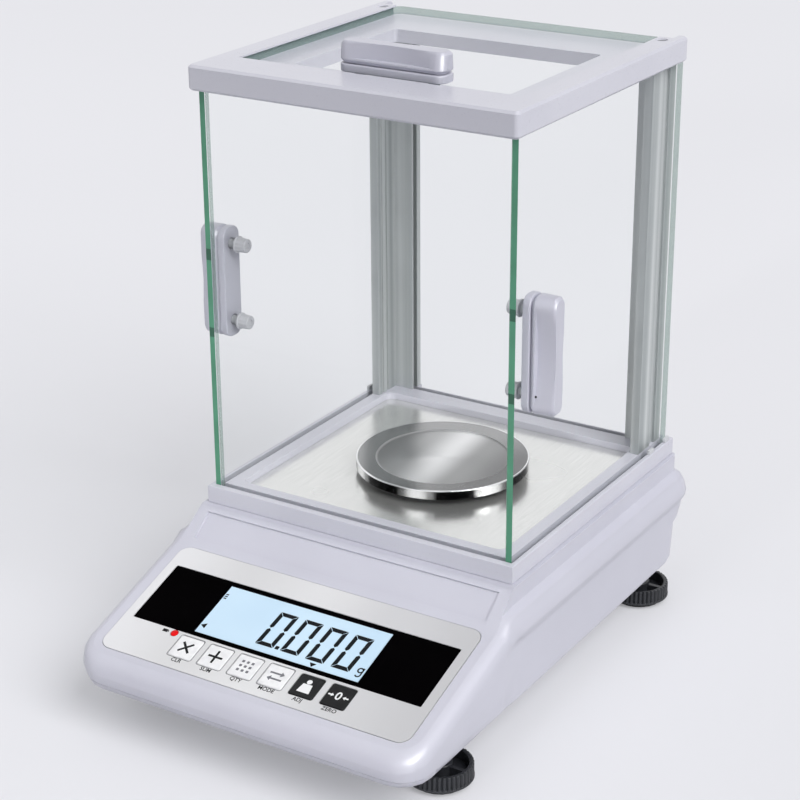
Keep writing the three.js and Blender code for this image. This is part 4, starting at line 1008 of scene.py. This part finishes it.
def add_key_border(key, x, down):
    inner_half = KEY_HALF + BORDER_GAP
    outer = placed(rounded_square(inner_half + BORDER_LINE, BORDER_OUTER_CORNER), x, down)
    inner = placed(rounded_square(inner_half, BORDER_INNER_CORNER), x, down)
    bm = bmesh.new()
    band(bm, outer, inner, OVERLAY_OUT)
    add_piece(f"{key}_border", bm, "print_grey", "base")


def add_tare_nought():
    x, down = console_place("key_tare")
    add_words("key_tare_nought", "0", NOUGHT_SIZE, x, down, KEY_OUT, "print_white", "key_tare")


for key in KEY_SIGNS:
    add_key_print(key)
add_tare_nought()


# Battery sign beside the charge lamp

CELL_OFFSET = 5.2
CELL_BODY = rectangle(-1.7, 1.3, 0.9)
CELL_TIP = rectangle(1.45, 1.85, 0.45)


def add_charge_sign():
    x, down = console_place("charge_led")
    shapes = [placed(shape, x - CELL_OFFSET, down) for shape in (CELL_BODY, CELL_TIP)]
    add_print("charge_sign", shapes, OVERLAY_OUT, "print_black", "base")


add_charge_sign()


# Small marks seated on a surface: a black dish in the sink mark of the right handle as painted shade, and a
# ring and a bar on the rocker

CAST_REACH = 10
SINK_MARK_RADIUS = 0.6
SINK_MARK_HALF = 0.1
SINK_MARK_DISH = 0.05
SINK_MARK_DISH_SHARE = 0.6
SINK_MARK_SEGMENTS = 24
SINK_MARK_ACROSS = 2.9
SINK_MARK_UP = 9.4
MARK_RADIUS = 1.1
MARK_STROKE = 0.35
MARK_REACH = 2.7
MARK_SINK = 0.05
MARK_PROUD = 0.03
MARK_BAR_THICKNESS = 0.08
MARK_SEGMENTS = 32


def seat_on(node, start, direction):
    """The place and turn of a small mark where a ray meets a node, with Z out of its surface."""
    target = FRAME_NODES[node]
    back = target.matrix_world.inverted()
    corners = [vertex.co for vertex in target.data.vertices]
    faces = BVHTree.FromPolygons(corners, [face.vertices[:] for face in target.data.polygons])
    place, normal = faces.ray_cast(back @ start, back.to_3x3() @ Vector(direction))[:2]
    turn = (target.matrix_world.to_3x3() @ normal).to_track_quat("Z", "Y").to_matrix().to_4x4()
    return Matrix.Translation(target.matrix_world @ place) @ turn


def add_sink_mark():
    low = node_box("right_handle_grip")[0]
    aim = mm(low.x + SINK_MARK_ACROSS, low.y - CAST_REACH, low.z + SINK_MARK_UP)
    radius, half, dish = SINK_MARK_RADIUS, SINK_MARK_HALF, SINK_MARK_DISH
    shoulder = (radius * SINK_MARK_DISH_SHARE, half - dish * SINK_MARK_DISH_SHARE)
    bm = bmesh.new()
    lathe(bm, [(0, -half), (radius, -half), (radius, half), shoulder, (0, half - dish)], SINK_MARK_SEGMENTS)
    bmesh.ops.transform(bm, matrix=seat_on("right_handle_grip", aim, (0, 1, 0)), verts=bm.verts)
    # The black print finish of this disc is painted shade in the hollow of the sink mark.
    add_piece("handle_sink_mark_shade", bm, "print_black", "right_door")


def ring_mark():
    inner = MARK_RADIUS - MARK_STROKE
    bm = bmesh.new()
    lathe(bm, [(inner, -MARK_SINK), (MARK_RADIUS, -MARK_SINK), (MARK_RADIUS, MARK_PROUD),
               (inner, MARK_PROUD), (inner, -MARK_SINK)], MARK_SEGMENTS)
    bmesh.ops.remove_doubles(bm, verts=bm.verts, dist=WELD_DISTANCE * MM)
    return bm


def bar_mark():
    bm = bmesh.new()
    add_block(bm, (MARK_STROKE, MARK_RADIUS * 2, MARK_BAR_THICKNESS), Matrix.Identity(4))
    return bm


def add_rocker_mark(name, bm, side):
    centre = node_centre("power_rocker")
    high = node_box("power_rocker")[1]
    aim = mm(centre.x, high.y + CAST_REACH, centre.z + side * MARK_REACH)
    bmesh.ops.transform(bm, matrix=seat_on("power_rocker", aim, (0, -1, 0)), verts=bm.verts)
    add_piece(name, bm, "print_white", "power_rocker")


add_sink_mark()
add_rocker_mark("rocker_off_mark", ring_mark(), -1)
add_rocker_mark("rocker_on_mark", bar_mark(), 1)


# Handle knobs: a shank through the glass and a tapered, lightly fluted head with a dimple

KNOB_FLUTES = 12
KNOB_FLUTE_STEPS = 6
KNOB_FLUTE_DEPTH = 0.16
KNOB_SHANK_RADIUS = 2.3
KNOB_SHANK_LENGTH = 5.5
KNOB_CHAMFER = 0.25
KNOB_COLLAR = 0.9
KNOB_NECK_IN = 0.35
KNOB_NECK_LENGTH = 0.3
KNOB_TIP_RADIUS = 3.5
KNOB_TIP_LENGTH = 0.9
KNOB_TIP_ROUND = 0.7
KNOB_DIMPLE_RADIUS = 1.6
KNOB_DIMPLE_TAPER = 0.2
KNOB_DIMPLE_DEPTH = 0.5


def knob_profile(radius, length):
    """The turned outline of a knob from its shank to its dimple, and the places of its fluted points."""
    collar = KNOB_SHANK_LENGTH
    collar_end = collar + KNOB_COLLAR
    floor = length - KNOB_DIMPLE_DEPTH
    profile = [(0, 0), (KNOB_SHANK_RADIUS, 0), (KNOB_SHANK_RADIUS, collar), (radius - KNOB_CHAMFER, collar),
               (radius, collar + KNOB_CHAMFER), (radius, collar_end),
               (radius - KNOB_NECK_IN, collar_end + KNOB_NECK_LENGTH),
               (KNOB_TIP_RADIUS, length - KNOB_TIP_LENGTH)]
    profile += arc(KNOB_TIP_RADIUS - KNOB_TIP_ROUND, length - KNOB_TIP_ROUND, KNOB_TIP_ROUND, 0, 90, 4)
    profile += [(KNOB_DIMPLE_RADIUS, length), (KNOB_DIMPLE_RADIUS - KNOB_DIMPLE_TAPER, floor), (0, floor)]
    return profile, (6, 7, 8)


def add_knob(side, end):
    node = f"{side}_{end}_knob"
    low, high = node_box(node)
    way, start = (1, low.x) if side == "left" else (-1, high.x)
    profile, waved = knob_profile((high.z - low.z) / 2, high.x - low.x)
    bm = bmesh.new()
    lathe(bm, profile, KNOB_FLUTES * KNOB_FLUTE_STEPS, flutes(KNOB_FLUTES, KNOB_FLUTE_DEPTH), waved)
    bmesh.ops.rotate(bm, matrix=Matrix.Rotation(way * math.pi / 2, 3, "Y"), verts=bm.verts)
    piece = add_piece(f"{side}_{end}_fluted_knob", bm, "knob", f"{side}_door", (node,),
                      Vector((start, (low.y + high.y) / 2, (low.z + high.z) / 2)))
    refine(piece, dissolve=False)


for side in SIDES:
    for end in ("lower", "upper"):
        add_knob(side, end)


# Camera at the photograph's viewing angle

CAMERA_AZIMUTH = math.radians(31.93)
CAMERA_ELEVATION = math.radians(22.44)
CAMERA_ROLL = math.radians(0.35)
CAMERA_FROM_PAN = (489.8, -827.5, 523.8)
CAMERA_LENS = 91.35
SENSOR_WIDTH = 36
FAR_CLIP = 50


def add_camera():
    a, e, r = CAMERA_AZIMUTH, CAMERA_ELEVATION, CAMERA_ROLL
    right = Vector((math.cos(a), math.sin(a), 0))
    back = Vector((math.sin(a) * math.cos(e), -math.cos(a) * math.cos(e), math.sin(e)))
    up = back.cross(right)
    rolled_right = math.cos(r) * right - math.sin(r) * up
    rolled_up = math.sin(r) * right + math.cos(r) * up
    data = bpy.data.cameras.new("camera")
    data.lens = CAMERA_LENS
    data.sensor_width = SENSOR_WIDTH
    data.clip_end = FAR_CLIP
    camera = bpy.data.objects.new("camera", data)
    x, y, z = CAMERA_FROM_PAN
    rotation = Matrix((rolled_right, rolled_up, back)).transposed().to_4x4()
    camera.matrix_world = Matrix.Translation(mm(x, y + PAN_CENTRE.y, z)) @ rotation
    bpy.context.scene.collection.objects.link(camera)
    bpy.context.scene.camera = camera


add_camera()


# Studio: a plain pale floor, an even world and soft lamps, in metres

FLOOR_REACH = 14
FLOOR_GLOW = linear(236, 237, 240)
FLOOR_GLOW_STRENGTH = 0.3
FLOOR_ROUGHNESS = 0.95
SUN_STRENGTH = 2.35
SUN_DIRECTION = (-0.84, 0.3, -0.82)
SUN_ANGLE = math.radians(40)
SOFTBOX_POWER = 90
SOFTBOX_SIZE = 1.4
SOFTBOX_PLACE = (1.6, -1.4, 0.6)
SOFTBOX_DIRECTION = (-0.734, 0.634, -0.15)
GLOW_POWER = 210
GLOW_PLACE = (-0.04, -1.5, 0.25)
GLOW_DIRECTION = (0.03, 1.38, -0.18)
GLOW_CONE = math.radians(6)
GLOW_SOFTNESS = 0.2
SKY_SEEN = linear(232, 233, 237)
SKY_BLUE = 1.02
SKY_PANELS = [(0.0, 1.0), (0.08, 1.0), (0.13, 0.03), (0.165, 0.03), (0.22, 1.1), (0.32, 1.1), (0.37, 0.03),
              (0.42, 0.03), (0.49, 1.1), (0.55, 1.1), (0.62, 0.15), (0.72, 0.15), (0.79, 0.95), (0.9, 0.95)]
SKY_PANEL_TOP = (0.45, 0.75)
SKY_HIGH = (0.85, 0.85, 0.87, 1)
DOME_LEVELS = [(0.5, 0.36), (1.0, 0.56)]


def floor_material():
    """A pale floor that keeps the shadow, lifted towards white only where it is seen or mirrored."""
    material, nodes, links, shader = new_material("studio_floor")
    patch = noise(nodes, links, coordinates(nodes, links), 1, 2)
    colour = ramp(nodes, links, patch, between(linear(194, 194, 198), linear(198, 198, 202)))
    links.new(colour, shader.inputs["Base Color"])
    shader.inputs["Roughness"].default_value = FLOOR_ROUGHNESS
    shader.inputs["Specular IOR Level"].default_value = 0
    path = nodes.new("ShaderNodeLightPath")
    seen = path.outputs["Is Camera Ray"]
    for ray in ("Is Glossy Ray", "Is Transmission Ray"):
        seen = calculated(nodes, links, "MAXIMUM", seen, path.outputs[ray])
    shader.inputs["Emission Color"].default_value = FLOOR_GLOW
    glow = calculated(nodes, links, "MULTIPLY", seen, FLOOR_GLOW_STRENGTH)
    links.new(glow, shader.inputs["Emission Strength"])
    return material


def add_floor():
    mesh = bpy.data.meshes.new("studio_floor")
    reach = FLOOR_REACH
    mesh.from_pydata([(-reach, -reach, 0), (reach, -reach, 0), (reach, reach, 0), (-reach, reach, 0)], [],
                     [(0, 1, 2, 3)])
    floor = bpy.data.objects.new("studio_floor", mesh)
    bpy.context.scene.collection.objects.link(floor)
    assign(floor, floor_material())


def sky_stops(levels):
    return [(position, level(value, SKY_BLUE)) for position, value in levels]


def add_world():
    """An even dome that lights the object, and pale and dark panels that only its gloss mirrors."""
    world = bpy.data.worlds.new("studio")
    bpy.context.scene.world = world
    world.use_nodes = True
    nodes, links = world.node_tree.nodes, world.node_tree.links
    place = nodes.new("ShaderNodeTexCoord")
    axes = split_axes(nodes, links, place.outputs["Generated"])
    angle = calculated(nodes, links, "ARCTAN2", axes["Y"], axes["X"])
    turn = mapped(nodes, links, angle, (-math.pi, math.pi), (0, 1))
    panels = ramp(nodes, links, turn, sky_stops(SKY_PANELS))
    high = mapped(nodes, links, axes["Z"], SKY_PANEL_TOP, (0, 1))
    studio = blended(nodes, links, high, panels, SKY_HIGH)
    height = mapped(nodes, links, axes["Z"], (-1, 1), (0, 1))
    dome = ramp(nodes, links, height, sky_stops(DOME_LEVELS))
    path = nodes.new("ShaderNodeLightPath")
    whole = blended(nodes, links, path.outputs["Is Glossy Ray"], dome, studio)
    seen = blended(nodes, links, path.outputs["Is Camera Ray"], whole, SKY_SEEN)
    links.new(seen, nodes["Background"].inputs["Color"])
    nodes["Background"].inputs["Strength"].default_value = 1.0


def add_lamp(name, kind, energy, direction, **settings):
    data = bpy.data.lights.new(name, kind)
    data.energy = energy
    for key, value in settings.items():
        setattr(data, key, value)
    lamp = bpy.data.objects.new(name, data)
    lamp.rotation_mode = "QUATERNION"
    lamp.rotation_quaternion = Vector(direction).to_track_quat("-Z", "Y")
    bpy.context.scene.collection.objects.link(lamp)
    return lamp


def add_softbox():
    """A glow beside the camera that only the rounded edges of the mouldings mirror."""
    softbox = add_lamp("edge_softbox", "AREA", SOFTBOX_POWER, SOFTBOX_DIRECTION, size=SOFTBOX_SIZE)
    softbox.location = SOFTBOX_PLACE
    softbox.visible_diffuse = False
    softbox.visible_camera = False
    lit = bpy.data.collections.new("softbox_receivers")
    for entry in SUBPARTS:
        if entry["material_slot"] == "shell":
            lit.objects.link(FRAME_NODES[entry["node"]])
    softbox.light_linking.receiver_collection = lit


def add_front_glow():
    """A soft pool of light in the middle of the front."""
    glow = add_lamp("front_glow", "SPOT", GLOW_POWER, GLOW_DIRECTION, spot_size=GLOW_CONE, spot_blend=1,
                    shadow_soft_size=GLOW_SOFTNESS)
    glow.location = GLOW_PLACE
    glow.visible_glossy = False


add_floor()
add_world()
add_lamp("key_sun", "SUN", SUN_STRENGTH, SUN_DIRECTION, angle=SUN_ANGLE)
add_softbox()
add_front_glow()
bpy.context.scene.view_settings.view_transform = "Standard"
